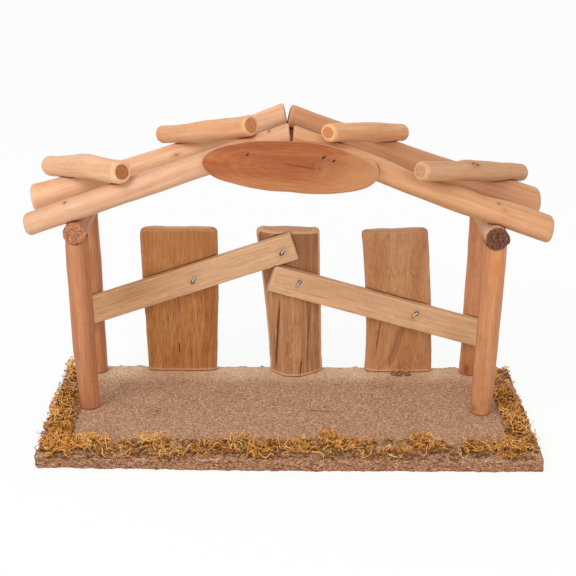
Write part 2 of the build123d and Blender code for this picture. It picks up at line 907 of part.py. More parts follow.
with BuildPart() as middle_plank:
    with BuildSketch(Plane((0, plank_back_y, base_top), x_dir=(1, 0, 0), z_dir=(0, -1, 0))):
        add(middle_outline)
    extrude(amount=plank_back_y - rail_back_y + rail_seat)
    split(bisect_by=Plane.XY.offset(base_top), keep=Keep.TOP)
    with BuildSketch(Plane.XY.offset(base_top)):
        with BuildLine():
            Line((middle_left, cheek_y), (middle_left, plank_back_y))
            Line((middle_left, plank_back_y), (middle_right, plank_back_y))
            Line((middle_right, plank_back_y), (middle_right, cheek_y))
            ThreePointArc(
                (middle_right, cheek_y),
                ((middle_left + middle_right) / 2, rail_back_y - rail_seat),
                (middle_left, cheek_y),
            )
        make_face()
    extrude(amount=plate_height, mode=Mode.INTERSECT)
    fillet(middle_plank.faces().sort_by(Axis.Z)[-1].edges(), plank_top_round)
    add(plank_nails.part, mode=Mode.SUBTRACT)
    add(rail_staples.part, mode=Mode.SUBTRACT)


def rail(lath):
    """A square-cut lath from its front face back, with softened edges."""
    with BuildPart() as board:
        with BuildSketch(lath.face):
            with Locations((lath.length / 2, 0)):
                Rectangle(lath.length, rail_width)
        extrude(amount=-rail_thickness)
        fillet(board.edges(), rail_edge_round)
    return board.part


with BuildPart() as left_rail:
    add(rail(left_lath))
    add(back_left_post.part, mode=Mode.SUBTRACT)
    add(left_plank.part, mode=Mode.SUBTRACT)
    add(middle_plank.part, mode=Mode.SUBTRACT)
    add(rail_staples.part, mode=Mode.SUBTRACT)

with BuildPart() as right_rail:
    add(rail(right_lath))
    add(back_right_post.part, mode=Mode.SUBTRACT)
    add(right_plank.part, mode=Mode.SUBTRACT)
    add(middle_plank.part, mode=Mode.SUBTRACT)
    add(rail_staples.part, mode=Mode.SUBTRACT)

# Moss: low mounds glued along the edges of the base


def moss_mound(axis, length, width, height):
    """A low mound on the base along the z of the plane axis, waving in width and height."""
    shares = (0.0, 0.12, 0.3, 0.5, 0.7, 0.88, 1.0)
    with BuildPart() as mound:
        for number, share in enumerate(shares):
            wave = 1 + moss_wave * (1 if number % 2 else -1)
            if share in (0.0, 1.0):
                wave = moss_end_share
            half_width = width * wave / 2
            with BuildSketch(axis.offset(share * length)):
                with BuildLine():
                    Line((-half_width, 0), (half_width, 0))
                    ThreePointArc((half_width, 0), (0, height * wave), (-half_width, 0))
                make_face()
        loft()
    return mound.part


front_moss_y = moss_edge_gap + front_moss_width / 2 - base_depth / 2
left_moss_x = moss_edge_gap + side_moss_width / 2 - base_width / 2
right_moss_x = base_width / 2 - moss_edge_gap - side_moss_width / 2

with BuildPart() as front_moss:
    front_start = Vector(front_moss_shift - front_moss_length / 2, front_moss_y, base_top)
    front_axis = Plane(front_start, x_dir=(0, 1, 0), z_dir=(1, 0, 0))
    add(moss_mound(front_axis, front_moss_length, front_moss_width, front_moss_height))

with BuildPart() as left_moss:
    left_start = Vector(left_moss_x, side_moss_shift - left_moss_length / 2, base_top)
    left_axis = Plane(left_start, x_dir=(-1, 0, 0), z_dir=(0, 1, 0))
    add(moss_mound(left_axis, left_moss_length, side_moss_width, side_moss_height))
    add(back_left_post.part, mode=Mode.SUBTRACT)
    add(front_left_post.part, mode=Mode.SUBTRACT)

with BuildPart() as right_moss:
    right_start = Vector(right_moss_x, side_moss_shift - right_moss_length / 2, base_top)
    right_axis = Plane(right_start, x_dir=(-1, 0, 0), z_dir=(0, 1, 0))
    add(moss_mound(right_axis, right_moss_length, side_moss_width, side_moss_height))
    add(back_right_post.part, mode=Mode.SUBTRACT)
    add(front_right_post.part, mode=Mode.SUBTRACT)

with BuildPart() as moss_tuft:
    tuft_y = plank_back_y - plank_thickness - moss_tuft_depth / 2 - moss_tuft_gap
    tuft_start = Vector(moss_tuft_x - moss_tuft_width / 2, tuft_y, base_top)
    tuft_axis = Plane(tuft_start, x_dir=(0, 1, 0), z_dir=(1, 0, 0))
    add(moss_mound(tuft_axis, moss_tuft_width, moss_tuft_depth, moss_tuft_height))
    add(right_plank.part, mode=Mode.SUBTRACT)

pieces = {
    "base_board": base_board,
    "front_left_post": front_left_post,
    "front_right_post": front_right_post,
    "back_left_post": back_left_post,
    "back_right_post": back_right_post,
    "left_plate_log": left_plate_log,
    "right_plate_log": right_plate_log,
    "ridge_log": ridge_log,
    "front_left_rafter": front_left_rafter,
    "front_right_rafter": front_right_rafter,
    "back_left_rafter": back_left_rafter,
    "back_right_rafter": back_right_rafter,
    "upper_left_roof_stick": upper_left_roof_stick,
    "lower_left_roof_stick": lower_left_roof_stick,
    "upper_right_roof_stick": upper_right_roof_stick,
    "lower_right_roof_stick": lower_right_roof_stick,
    "oval_plaque": oval_plaque,
    "left_plank": left_plank,
    "middle_plank": middle_plank,
    "right_plank": right_plank,
    "left_rail": left_rail,
    "right_rail": right_rail,
    "rail_staples": rail_staples,
    "plaque_staples": plaque_staples,
    "ridge_staples": ridge_staples,
    "rafter_brads": rafter_brads,
    "stick_brads": stick_brads,
    "plate_brads": plate_brads,
    "post_nails": post_nails,
    "plank_nails": plank_nails,
    "front_moss": front_moss,
    "left_moss": left_moss,
    "right_moss": right_moss,
    "moss_tuft": moss_tuft,
}

for node, piece in pieces.items():
    piece.part.label = node
    export_step(piece.part, f"parts/{node}.step")
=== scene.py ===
"""Dresses a wooden nativity stable: peeled sticks, planks, laths, an oval plaque, softboard and dried moss.

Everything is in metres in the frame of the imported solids, +Z up and the open front facing -Y. Each
piece is measured on the solid that it stands for, so its place and size always follow that solid.
"""

import itertools
import logging
import math
from collections.abc import Mapping, Sequence
from dataclasses import dataclass, field
from enum import Enum

import bmesh
import bpy
import numpy as np
from mathutils import Matrix, Vector
from mathutils.bvhtree import BVHTree


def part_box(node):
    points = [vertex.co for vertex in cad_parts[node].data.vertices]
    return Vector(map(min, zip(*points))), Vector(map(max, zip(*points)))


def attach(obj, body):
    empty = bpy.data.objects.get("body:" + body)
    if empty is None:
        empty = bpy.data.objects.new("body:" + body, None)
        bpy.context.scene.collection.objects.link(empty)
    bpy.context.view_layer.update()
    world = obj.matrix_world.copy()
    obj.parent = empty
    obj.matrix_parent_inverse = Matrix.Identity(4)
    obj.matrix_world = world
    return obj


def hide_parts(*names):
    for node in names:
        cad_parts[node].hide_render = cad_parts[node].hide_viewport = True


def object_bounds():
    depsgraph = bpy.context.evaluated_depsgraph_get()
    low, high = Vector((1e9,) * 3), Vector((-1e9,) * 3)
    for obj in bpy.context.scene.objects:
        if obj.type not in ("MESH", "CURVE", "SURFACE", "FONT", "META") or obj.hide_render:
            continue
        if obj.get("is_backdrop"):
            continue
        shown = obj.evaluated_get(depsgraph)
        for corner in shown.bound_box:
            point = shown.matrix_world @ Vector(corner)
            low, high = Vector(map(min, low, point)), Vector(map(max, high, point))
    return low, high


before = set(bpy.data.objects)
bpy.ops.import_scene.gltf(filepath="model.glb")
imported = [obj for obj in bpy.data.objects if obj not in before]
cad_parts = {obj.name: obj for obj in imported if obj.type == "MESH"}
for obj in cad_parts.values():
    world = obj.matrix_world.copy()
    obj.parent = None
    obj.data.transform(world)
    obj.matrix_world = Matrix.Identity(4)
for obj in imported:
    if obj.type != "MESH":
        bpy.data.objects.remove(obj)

MM = 0.001
BODY = "root"
BAKE_MAP = "OFBake"
UP = (0.0, 0.0, 1.0)
FRONT = (0.0, -1.0, 0.0)
BACK = (0.0, 1.0, 0.0)

Colour = tuple[float, float, float, float]
Spot = tuple[float, float, float]
Course = tuple[float, float, float]
Array = np.ndarray
Piece = bpy.types.Object
Node = bpy.types.Node
Socket = bpy.types.NodeSocket
Feeds = Mapping[str, Socket]
Feed = Socket | float | Sequence[float]

STILL: Course = (0.0, 0.0, 0.0)

log = logging.getLogger("stable")
beside = np.column_stack


def tint(red: int, green: int, blue: int) -> Colour:
    """Gives the linear colour of a display colour.

    Args:
        red: Red from 0 to 255.
        green: Green from 0 to 255.
        blue: Blue from 0 to 255.

    Returns:
        The colour as linear red, green, blue and a full alpha.
    """
    shares = [value / 255 for value in (red, green, blue)]
    linear = [s / 12.92 if s <= 0.04045 else ((s + 0.055) / 1.055) ** 2.4 for s in shares]
    return (linear[0], linear[1], linear[2], 1.0)


def metres(spot: Spot) -> Vector:
    """Gives a place written in millimetres as a vector in metres."""
    return Vector(spot) * MM


def unit(vectors: Array) -> Array:
    """Gives vectors their directions at length one."""
    return vectors / np.linalg.norm(vectors, axis=-1, keepdims=True)


def along(course: Course, share: Array) -> Array:
    """Gives a smooth run of lengths through a start, a middle and an end value.

    Args:
        course: The three values in millimetres.
        share: How far along, from 0 to 1.

    Returns:
        The lengths in metres.
    """
    start, middle, end = course
    bend = 2 * (start + end - 2 * middle)
    return MM * (start + (end - start - bend) * share + bend * share**2)


def placed(x: Sequence[float], y: Sequence[float], z: Sequence[float], origin: Array) -> Matrix:
    """Gives the place of a piece in the frame from its own axes and its origin."""
    return Matrix(np.vstack([beside([x, y, z, origin]), [0, 0, 0, 1]]).tolist())


class SoftField:
    """A smooth random field over space, for the unevenness of hand-made pieces."""

    SIDE = 32

    def __init__(self, seed: int) -> None:
        """Draws the values of the field's lattice from a seed."""
        self.values = np.random.default_rng(seed).uniform(-1.0, 1.0, (self.SIDE,) * 3)

    def at(self, points: Array, size: float) -> Array:
        """Reads the field.

        Args:
            points: Places, one row each.
            size: Distance over which the field changes.

        Returns:
            One value from -1 to 1 for each place.
        """
        grid = np.asarray(points, float) / size
        low = np.floor(grid).astype(int)
        part = grid - low
        part = part * part * (3 - 2 * part)
        total = np.zeros(len(grid))
        for corner in itertools.product((0, 1), repeat=3):
            index = (low + corner) % self.SIDE
            weight = np.prod(np.where(corner, part, 1 - part), axis=1)
            total += weight * self.values[index[:, 0], index[:, 1], index[:, 2]]
        return total


# Shader wiring


class Wiring:
    """A node tree in the making: adds nodes, sets their sockets and links them."""

    # Numbers of the colour sockets of a Mix node, which shares its names among kinds
    MIX_FACTOR, MIX_FIRST, MIX_SECOND, MIX_RESULT = 0, 6, 7, 2

    def __init__(self, tree: bpy.types.NodeTree) -> None:
        """Takes the node tree that is to be wired."""
        self.tree = tree

    def feed(self, socket: Socket, feed: Feed) -> None:
        """Links a socket to another one, or sets it to a value."""
        if isinstance(feed, Socket):
            self.tree.links.new(feed, socket)
        else:
            socket.default_value = feed

    def add(self, kind: str, feeds: Mapping[str | int, Feed] | None = None, **settings: object) -> Node:
        """Adds a node.

        Args:
            kind: Type name of the node.
            feeds: What goes into its inputs, by name or number.
            **settings: Other properties of the node.

        Returns:
            The new node.
        """
        node = self.tree.nodes.new(kind)
        for name, value in settings.items():
            setattr(node, name, value)
        for key, feed in (feeds or {}).items():
            self.feed(node.inputs[key], feed)
        return node

    def math(self, operation: str, *feeds: Feed, clamp: bool = False) -> Socket:
        """Adds one sum on numbers and gives its result."""
        node = self.add("ShaderNodeMath", dict(enumerate(feeds)), operation=operation, use_clamp=clamp)
        return node.outputs[0]

    def times(self, first: Feed, second: Feed) -> Socket:
        """Gives a product."""
        return self.math("MULTIPLY", first, second)

    def plus(self, first: Feed, second: Feed) -> Socket:
        """Gives a sum."""
        return self.math("ADD", first, second)

    def minus(self, first: Feed, second: Feed) -> Socket:
        """Gives a difference."""
        return self.math("SUBTRACT", first, second)

    def ratio(self, first: Feed, second: Feed) -> Socket:
        """Gives a quotient."""
        return self.math("DIVIDE", first, second)

    def vector(self, operation: str, *feeds: Feed) -> Socket:
        """Adds one sum on vectors and gives its result, a number for lengths."""
        node = self.add("ShaderNodeVectorMath", dict(enumerate(feeds)), operation=operation)
        return node.outputs["Value" if operation in ("LENGTH", "DOT_PRODUCT") else "Vector"]

    def step(self, value: Feed, low: Feed, high: Feed) -> Socket:
        """Gives 0 below low and 1 above high with a smooth rise between, or a fall if low is above high."""
        feeds = {"Value": value, "From Min": low, "From Max": high}
        return self.add("ShaderNodeMapRange", feeds, interpolation_type="SMOOTHSTEP").outputs["Result"]

    def mix(self, factor: Feed, first: Feed, second: Feed, blend: str = "MIX") -> Socket:
        """Gives the blend of two colours."""
        node = self.add("ShaderNodeMix", data_type="RGBA", blend_type=blend)
        for key, feed in ((self.MIX_FACTOR, factor), (self.MIX_FIRST, first), (self.MIX_SECOND, second)):
            self.feed(node.inputs[key], feed)
        return node.outputs[self.MIX_RESULT]

    def over(self, colour: Feed, mask: Feed, share: Feed, other: Feed) -> Socket:
        """Lays a share of another colour over a colour where a mask is."""
        return self.mix(self.times(mask, share), colour, other)

    def layers(self, colour: Feed, *layers: tuple[Feed, Feed, Feed]) -> Feed:
        """Lays colours over a colour one by one, each given as its mask, its share and the colour."""
        for mask, share, other in layers:
            colour = self.over(colour, mask, share, other)
        return colour

    def noise(
        self, vector: Feed, scale: Feed, detail: float = 2.0, roughness: float = 0.5, output: str | int = 0
    ) -> Socket:
        """Adds a noise texture on a vector and gives its value or another output of it."""
        feeds = {"Vector": vector, "Scale": scale, "Detail": detail, "Roughness": roughness}
        return self.add("ShaderNodeTexNoise", feeds).outputs[output]

    def joined(self, x: Feed, y: Feed, z: Feed) -> Socket:
        """Gives the vector of three numbers."""
        return self.add("ShaderNodeCombineXYZ", {0: x, 1: y, 2: z}).outputs[0]

    def parted(self, vector: Feed) -> tuple[Socket, Socket, Socket]:
        """Gives the three numbers of a vector."""
        node = self.add("ShaderNodeSeparateXYZ", {0: vector})
        return node.outputs[0], node.outputs[1], node.outputs[2]

    def place(self) -> Socket:
        """Gives the place on the piece in the piece's own axes."""
        return self.add("ShaderNodeTexCoord").outputs["Object"]

    def mask(self, name: str) -> Socket:
        """Gives a mask that the mesh carries at its points."""
        return self.add("ShaderNodeAttribute", attribute_name=name).outputs["Fac"]


class Effect:
    """A shader node group shared by several finishes, built once and then placed with own values."""

    name: str = ""
    inputs: Mapping[str, float | None] = {}
    outputs: tuple[str, ...] = ()

    def wire(self, net: Wiring, feeds: Feeds) -> Feeds:
        """Builds the inside of the group.

        Args:
            net: The group's node tree.
            feeds: The group's inputs by name.

        Returns:
            The group's outputs by name.
        """
        raise NotImplementedError

    def group(self) -> bpy.types.NodeTree:
        """Gives the node group, which is built on its first use."""
        found = bpy.data.node_groups.get(self.name)
        if found:
            return found
        tree = bpy.data.node_groups.new(self.name, "ShaderNodeTree")
        for name, default in self.inputs.items():
            kind = "Vector" if default is None else "Float"
            socket = tree.interface.new_socket(name=name, in_out="INPUT", socket_type=f"NodeSocket{kind}")
            if default is not None:
                socket.default_value = default
        for name in self.outputs:
            tree.interface.new_socket(name=name, in_out="OUTPUT", socket_type="NodeSocketFloat")
        net = Wiring(tree)
        source = net.add("NodeGroupInput")
        made = self.wire(net, {name: source.outputs[name] for name in self.inputs})
        net.add("NodeGroupOutput", dict(made))
        return tree

    def put(self, net: Wiring, **feeds: Feed) -> Feeds:
        """Places the group in a node tree.

        Args:
            net: The node tree of a material.
            **feeds: What goes into the group's inputs.

        Returns:
            The group's outputs by name.
        """
        node = net.add("ShaderNodeGroup", node_tree=self.group())
        for key, feed in feeds.items():
            net.feed(node.inputs[key], feed)
        return {name: node.outputs[name] for name in self.outputs}


class WoodGrain(Effect):
    """Streaks, fine lines, pores and broad patches that run along the local z of a piece."""

    name = "wood grain"
    inputs = {"Vector": None, "Seed": 0.0, "Width": 0.001, "Stretch": 16.0, "Wander": 0.003}
    outputs = ("Broad", "Streak", "Line", "Pore", "Height")

    def wire(self, net: Wiring, feeds: Feeds) -> Feeds:
        """Stretches four noises along the grain, bent a little by a slow one."""
        away = net.joined(
            net.times(feeds["Seed"], 0.131),
            net.times(feeds["Seed"], 0.173),
            net.times(feeds["Seed"], 0.219),
        )
        moved = net.vector("ADD", feeds["Vector"], away)
        slow = net.noise(moved, 32.0, 1.0, output="Color")
        sway = net.vector("SUBTRACT", slow, (0.5, 0.5, 0.5))
        amount = net.joined(feeds["Wander"], feeds["Wander"], feeds["Wander"])
        bent = net.vector("ADD", moved, net.vector("MULTIPLY", sway, amount))
        across = net.ratio(1.0, feeds["Width"])
        lengthways = net.ratio(across, feeds["Stretch"])
        cells = net.vector("MULTIPLY", bent, net.joined(across, across, lengthways))
        streak = net.noise(cells, 1.0, 3.0, 0.62)
        broad = net.noise(cells, 0.2, 2.0, 0.55)
        dashes = net.noise(net.vector("MULTIPLY", cells, (2.6, 2.6, 1.4)), 1.0, 1.0)
        pore = net.step(dashes, 0.6, 0.72)
        bands = net.noise(net.vector("MULTIPLY", cells, (0.45, 0.45, 0.3)), 1.0, 1.0)
        crest = net.math("ABSOLUTE", net.minus(bands, 0.5))
        height = net.minus(streak, net.times(pore, 0.5))
        return {
            "Broad": net.step(broad, 0.32, 0.68),
            "Streak": net.step(streak, 0.4, 0.72),
            "Line": net.step(crest, 0.055, 0.005),
            "Pore": pore,
            "Height": height,
        }


class GrowthRings(Effect):
    """Year rings round a pith, as a cut across a branch shows them."""

    name = "growth rings"
    inputs = {"Vector": None, "Pitch": 0.001, "Wobble": 0.0006, "Seed": 0.0}
    outputs = ("Ring", "Distance", "Ray")

    def wire(self, net: Wiring, feeds: Feeds) -> Feeds:
        """Draws a wave over the distance from the pith, unsettled by a noise."""
        x, y, _ = net.parted(feeds["Vector"])
        flat = net.joined(x, y, net.times(feeds["Seed"], 0.37))
        loose = net.noise(flat, 220.0, 2.0)
        shift = net.minus(loose, 0.5)
        radius = net.vector("LENGTH", net.joined(x, y, 0.0))
        uneven = net.plus(radius, net.times(shift, feeds["Wobble"]))
        turn = net.times(net.ratio(uneven, feeds["Pitch"]), 2 * math.pi)
        wave = net.plus(net.times(net.math("SINE", turn), 0.5), 0.5)
        angle = net.math("ARCTAN2", y, x)
        spokes = net.noise(net.joined(net.times(angle, 7.0), feeds["Seed"], 0.0), 1.0, 2.0)
        return {
            "Ring": net.math("POWER", wave, 1.6),
            "Distance": radius,
            "Ray": net.step(spokes, 0.5, 0.72),
        }


class KnotMark(Effect):
    """A small round mark at one place, such as a knot or the dent of a driven brad."""

    name = "knot mark"
    inputs = {"Vector": None, "Place": None, "Radius": 0.001, "Reach": 1.5}
    outputs = ("Core", "Halo")

    def wire(self, net: Wiring, feeds: Feeds) -> Feeds:
        """Measures the distance to the mark, shorter along the grain, with a ragged outline."""
        apart = net.vector("SUBTRACT", feeds["Vector"], feeds["Place"])
        squeeze = net.joined(1.0, 1.0, net.ratio(1.0, feeds["Reach"]))
        distance = net.vector("LENGTH", net.vector("MULTIPLY", apart, squeeze))
        rag = net.minus(net.noise(feeds["Vector"], 900.0, 2.0), 0.5)
        rough = net.plus(net.ratio(distance, feeds["Radius"]), rag)
        return {"Core": net.step(rough, 1.0, 0.55), "Halo": net.step(rough, 3.2, 0.9)}


class DryingCrack(Effect):
    """A thin crack along the grain on the front of a plank, tapering at both ends."""

    name = "drying crack"
    inputs = {"Vector": None, "Across": 0.0, "Lean": 0.0, "Middle": 0.0, "Half": 0.01, "Width": 0.0003}
    outputs = ("Mask",)

    def wire(self, net: Wiring, feeds: Feeds) -> Feeds:
        """Measures the sideways distance to a leaning, slightly wandering line."""
        x, y, z = net.parted(feeds["Vector"])
        run = net.minus(z, feeds["Middle"])
        line = net.plus(feeds["Across"], net.times(run, feeds["Lean"]))
        stray = net.noise(net.joined(0.0, 0.0, z), 420.0, 3.0, 0.6)
        line = net.plus(line, net.times(net.minus(stray, 0.5), 0.0012))
        aside = net.math("ABSOLUTE", net.minus(x, line))
        share = net.ratio(net.math("ABSOLUTE", run), feeds["Half"])
        room = net.times(feeds["Width"], net.step(share, 1.0, 0.5))
        thin = net.ratio(aside, net.math("MAXIMUM", room, 0.00001))
        inside = net.times(net.step(thin, 1.0, 0.45), net.step(share, 1.0, 0.93))
        front = net.step(y, 0.0005, -0.0005)
        return {"Mask": net.times(inside, front)}


class FibreFleck(Effect):
    """Short pressed fibres lying every way in a board, pale ones and dark ones."""

    name = "fibre fleck"
    inputs = {"Vector": None, "Size": 0.0009, "Seed": 0.0}
    outputs = ("Pale", "Dark", "Cloud", "Height")

    def wire(self, net: Wiring, feeds: Feeds) -> Feeds:
        """Lays three stretched noises over each other, each turned another way."""
        away = net.joined(feeds["Seed"], net.times(feeds["Seed"], 1.7), 0.0)
        cells = net.vector("DIVIDE", feeds["Vector"], net.joined(feeds["Size"], feeds["Size"], feeds["Size"]))
        cells = net.vector("ADD", cells, away)
        layers = []
        for number, angle in enumerate((0.3, 1.25, 2.4)):
            turned = net.add(
                "ShaderNodeVectorRotate", {"Vector": cells, "Angle": angle}, rotation_type="Z_AXIS"
            ).outputs[0]
            squeezed = net.vector("MULTIPLY", turned, (0.34, 1.25, 1.0 + 0.2 * number))
            layers.append(net.noise(squeezed, 1.0, 2.0, 0.6))
        most = net.math("MAXIMUM", net.math("MAXIMUM", layers[0], layers[1]), layers[2])
        least = net.math("MINIMUM", net.math("MINIMUM", layers[0], layers[1]), layers[2])
        cloud = net.noise(cells, 0.045, 3.0, 0.6)
        return {
            "Pale": net.step(most, 0.585, 0.69),
            "Dark": net.step(least, 0.405, 0.305),
            "Cloud": net.step(cloud, 0.35, 0.65),
            "Height": net.plus(most, least),
        }


class Grime(Effect):
    """Patches of handling dirt and weathering."""

    name = "grime"
    inputs = {"Vector": None, "Size": 0.006, "Seed": 0.0}
    outputs = ("Patch", "Speck")

    def wire(self, net: Wiring, feeds: Feeds) -> Feeds:
        """Reads one slow and one quick noise."""
        away = net.joined(feeds["Seed"], feeds["Seed"], feeds["Seed"])
        cells = net.vector("DIVIDE", feeds["Vector"], net.joined(feeds["Size"], feeds["Size"], feeds["Size"]))
        cells = net.vector("ADD", cells, away)
        patch = net.noise(cells, 1.0, 4.0, 0.6)
        speck = net.noise(cells, 7.0, 2.0, 0.6)
        return {"Patch": net.step(patch, 0.5, 0.68), "Speck": net.step(speck, 0.62, 0.74)}


GRAIN = WoodGrain()
RINGS = GrowthRings()
MARK = KnotMark()
CRACK = DryingCrack()
FLECK = FibreFleck()
GRIME = Grime()


# Finishes


class MarkKind(Enum):
    """What a small mark on the wood is."""

    KNOT = "knot"
    BRAD = "brad"
    # Dark dent round a staple: crushed wood and painted shade under the wire
    STAPLE = "staple"
    STAIN = "stain"
    HOLE = "hole"
    HEART = "heart"
    WARM = "warm patch"
    DAMP = "damp patch"


class EndCut(Enum):
    """How the end of a stick was cut."""

    RINGED = "clean saw cut with year rings"
    ROUGH = "rough reddish saw cut"
    BARKY = "dark weathered cut with bark left on"


@dataclass(frozen=True)
class Mark:
    """A small mark at a place on the object, in millimetres."""

    spot: Spot
    radius: float
    kind: MarkKind = MarkKind.KNOT
    reach: float = 1.6
    strength: float = 0.8


@dataclass(frozen=True)
class Crack:
    """A drying crack on the front of a plank, from its lower to its upper end, in millimetres."""

    low: tuple[float, float]
    high: tuple[float, float]
    width: float = 0.5
    depth: float = 0.8


MARK_COLOURS = {
    MarkKind.KNOT: (tint(96, 52, 30), tint(176, 108, 66)),
    MarkKind.BRAD: (tint(70, 48, 38), tint(150, 104, 74)),
    MarkKind.STAPLE: (tint(64, 44, 34), tint(204, 158, 116)),
    MarkKind.STAIN: (tint(172, 108, 64), tint(198, 138, 92)),
    MarkKind.HOLE: (tint(44, 26, 16), tint(152, 88, 52)),
    MarkKind.HEART: (tint(104, 42, 22), tint(140, 64, 32)),
    MarkKind.WARM: (tint(200, 121, 64), tint(205, 131, 78)),
    MarkKind.DAMP: (tint(146, 80, 46), tint(172, 104, 64)),
}
# Painted shade where parts lie close together, mixed with the dust and glue there
SEAM_SHADE = tint(84, 44, 24)


class Finish:
    """What all finishes share: one material for each piece, with the shader kept in the material."""

    name: str
    shine: float
    relief: float

    def start(self, piece: Piece) -> tuple[Wiring, Node]:
        """Makes the piece's own material.

        Args:
            piece: The piece that gets the material.

        Returns:
            The wiring of the material and its shader.
        """
        material = bpy.data.materials.new(f"{self.name}_{piece.name}")
        material.use_nodes = True
        piece.data.materials.clear()
        piece.data.materials.append(material)
        net = Wiring(material.node_tree)
        return net, material.node_tree.nodes["Principled BSDF"]

    def coat(self, net: Wiring, shader: Node, colour: Feed, rough: Feed, height: Feed) -> None:
        """Feeds the shader, with the shine and the depth of relief of this finish.

        Args:
            net: The wiring of the material.
            shader: Its shader.
            colour: Colour of the surface.
            rough: Roughness.
            height: Relief of the surface.
        """
        bump = net.add("ShaderNodeBump", {"Height": height, "Strength": 1.0, "Distance": self.relief})
        for name, feed in (("Base Color", colour), ("Roughness", rough), ("Normal", bump.outputs[0])):
            net.feed(shader.inputs[name], feed)
        shader.inputs["Specular IOR Level"].default_value = self.shine

    def crack_line(
        self, net: Wiring, vector: Feed, low: Sequence[float], high: Sequence[float], width: float
    ) -> Socket:
        """Places one crack.

        Args:
            net: The wiring of the material.
            vector: Places with the way across first and the way along last.
            low: Across and along at its lower end, in metres.
            high: The same at its upper end.
            width: Width in millimetres.

        Returns:
            The mask of the crack.
        """
        half = (high[1] - low[1]) / 2
        return CRACK.put(
            net, Vector=vector, Across=(low[0] + high[0]) / 2, Lean=(high[0] - low[0]) / (2 * half),
            Middle=low[1] + half, Half=half, Width=width * MM,
        )["Mask"]

    def seam_shaded(self, net: Wiring, colour: Socket) -> Socket:
        """Darkens a colour where the piece lies close to another one: painted shade between the parts, with
        the dust and glue that gather there.
        """
        close = net.step(net.mask("seam"), 0.15, 1.0)
        return net.over(colour, close, 0.8, SEAM_SHADE)

    def marked(self, net: Wiring, piece: Piece, colour: Socket, marks: Sequence[Mark]) -> Socket:
        """Draws small marks over a colour.

        Args:
            net: The wiring of the material.
            piece: The piece, whose own axes the marks are put into.
            colour: The colour without them.
            marks: The marks to draw.

        Returns:
            The colour with the marks.
        """
        to_local = piece.matrix_world.inverted()
        for mark in marks:
            core_colour, halo_colour = MARK_COLOURS[mark.kind]
            place = to_local @ metres(mark.spot)
            made = MARK.put(
                net, Vector=net.place(), Place=place, Radius=mark.radius * MM, Reach=mark.reach
            )
            halo = net.times(made["Halo"], mark.strength * 0.55)
            core = net.times(made["Core"], mark.strength)
            colour = net.mix(core, net.mix(halo, colour, halo_colour), core_colour)
        return colour


@dataclass(frozen=True)
class PeeledWood(Finish):
    """Smooth branch wood with its bark peeled off."""

    name: str
    pale: Colour
    warm: Colour
    streak: Colour
    end_pale: Colour
    end_dark: Colour
    seed: float
    end_fleck: Colour = tint(226, 170, 136)
    end_pit: Colour = tint(112, 58, 36)
    streaks: float = 0.2
    cut: EndCut = EndCut.RINGED
    rim: float = 0.6
    rings: float = 0.4
    ring_pitch: float = 0.0013
    marks: tuple[Mark, ...] = ()
    shine: float = 0.32
    relief: float = 0.0004

    def dress(self, piece: Piece) -> None:
        """Gives a stick its wood: grain on its side, year rings or a rough cut at its ends."""
        net, shader = self.start(piece)
        place = net.place()
        grain = GRAIN.put(net, Vector=place, Seed=self.seed, Width=0.001, Stretch=30.0, Wander=0.0024)
        dirt = GRIME.put(net, Vector=place, Size=0.007, Seed=self.seed)
        side = net.mix(grain["Broad"], self.pale, self.warm)
        side = net.layers(
            side,
            (grain["Streak"], self.streaks, self.streak),
            (grain["Line"], self.streaks * 0.6, self.streak),
            (grain["Pore"], 0.12, self.streak),
            (dirt["Patch"], 0.16, self.streak),
        )
        rim = net.mask("rim")
        specks = net.times(net.times(rim, dirt["Speck"]), self.rim)
        side = net.over(side, rim, 0.35, self.pale)
        side = net.mix(specks, side, tint(128, 104, 90))
        side = self.marked(net, piece, side, self.marks)
        end, end_height = self.end(net, place)
        cut = net.mask("cut")
        colour = self.seam_shaded(net, net.mix(cut, side, end))
        rough = net.math("MULTIPLY_ADD", grain["Streak"], 0.14, 0.52)
        rough = net.math("MULTIPLY_ADD", cut, 0.2, rough, clamp=True)
        side_height = net.times(grain["Height"], 0.35)
        flat = net.minus(1.0, cut)
        height = net.plus(net.times(side_height, flat), net.times(end_height, cut))
        self.coat(net, shader, colour, rough, height)

    def end(self, net: Wiring, place: Socket) -> tuple[Socket, Socket]:
        """Gives the colour and height of the cut ends.

        Args:
            net: The wiring of the material.
            place: The place on the piece.

        Returns:
            The colour and the height.
        """
        rings = RINGS.put(net, Vector=place, Pitch=self.ring_pitch, Wobble=0.0012, Seed=self.seed)
        grain = GRIME.put(net, Vector=place, Size=0.0022, Seed=self.seed + 3.0)
        blotch = net.mix(grain["Patch"], self.end_dark, self.end_pale)
        if self.cut is EndCut.RINGED:
            colour = net.over(self.end_pale, rings["Ring"], self.rings, self.end_dark)
            colour = net.over(colour, rings["Ray"], 0.2, self.end_pale)
            colour = net.mix(0.35, colour, blotch)
            pith = net.step(rings["Distance"], 0.0011, 0.0004)
            colour = net.over(colour, pith, 0.5, self.end_dark)
            edge = net.step(net.mask("disc"), 0.7, 0.98)
            colour = net.over(colour, edge, 0.35, self.end_dark)
            return colour, net.times(rings["Ring"], 0.4)
        crumbs = GRIME.put(net, Vector=place, Size=0.001, Seed=self.seed + 5.0)
        pits = GRIME.put(net, Vector=place, Size=0.0012, Seed=self.seed + 9.0)
        colour = net.over(blotch, crumbs["Patch"], 0.8, self.end_fleck)
        colour = net.over(colour, pits["Patch"], 0.8, self.end_pit)
        height = net.minus(net.plus(grain["Patch"], crumbs["Patch"]), pits["Patch"])
        return colour, net.times(height, 1.4)


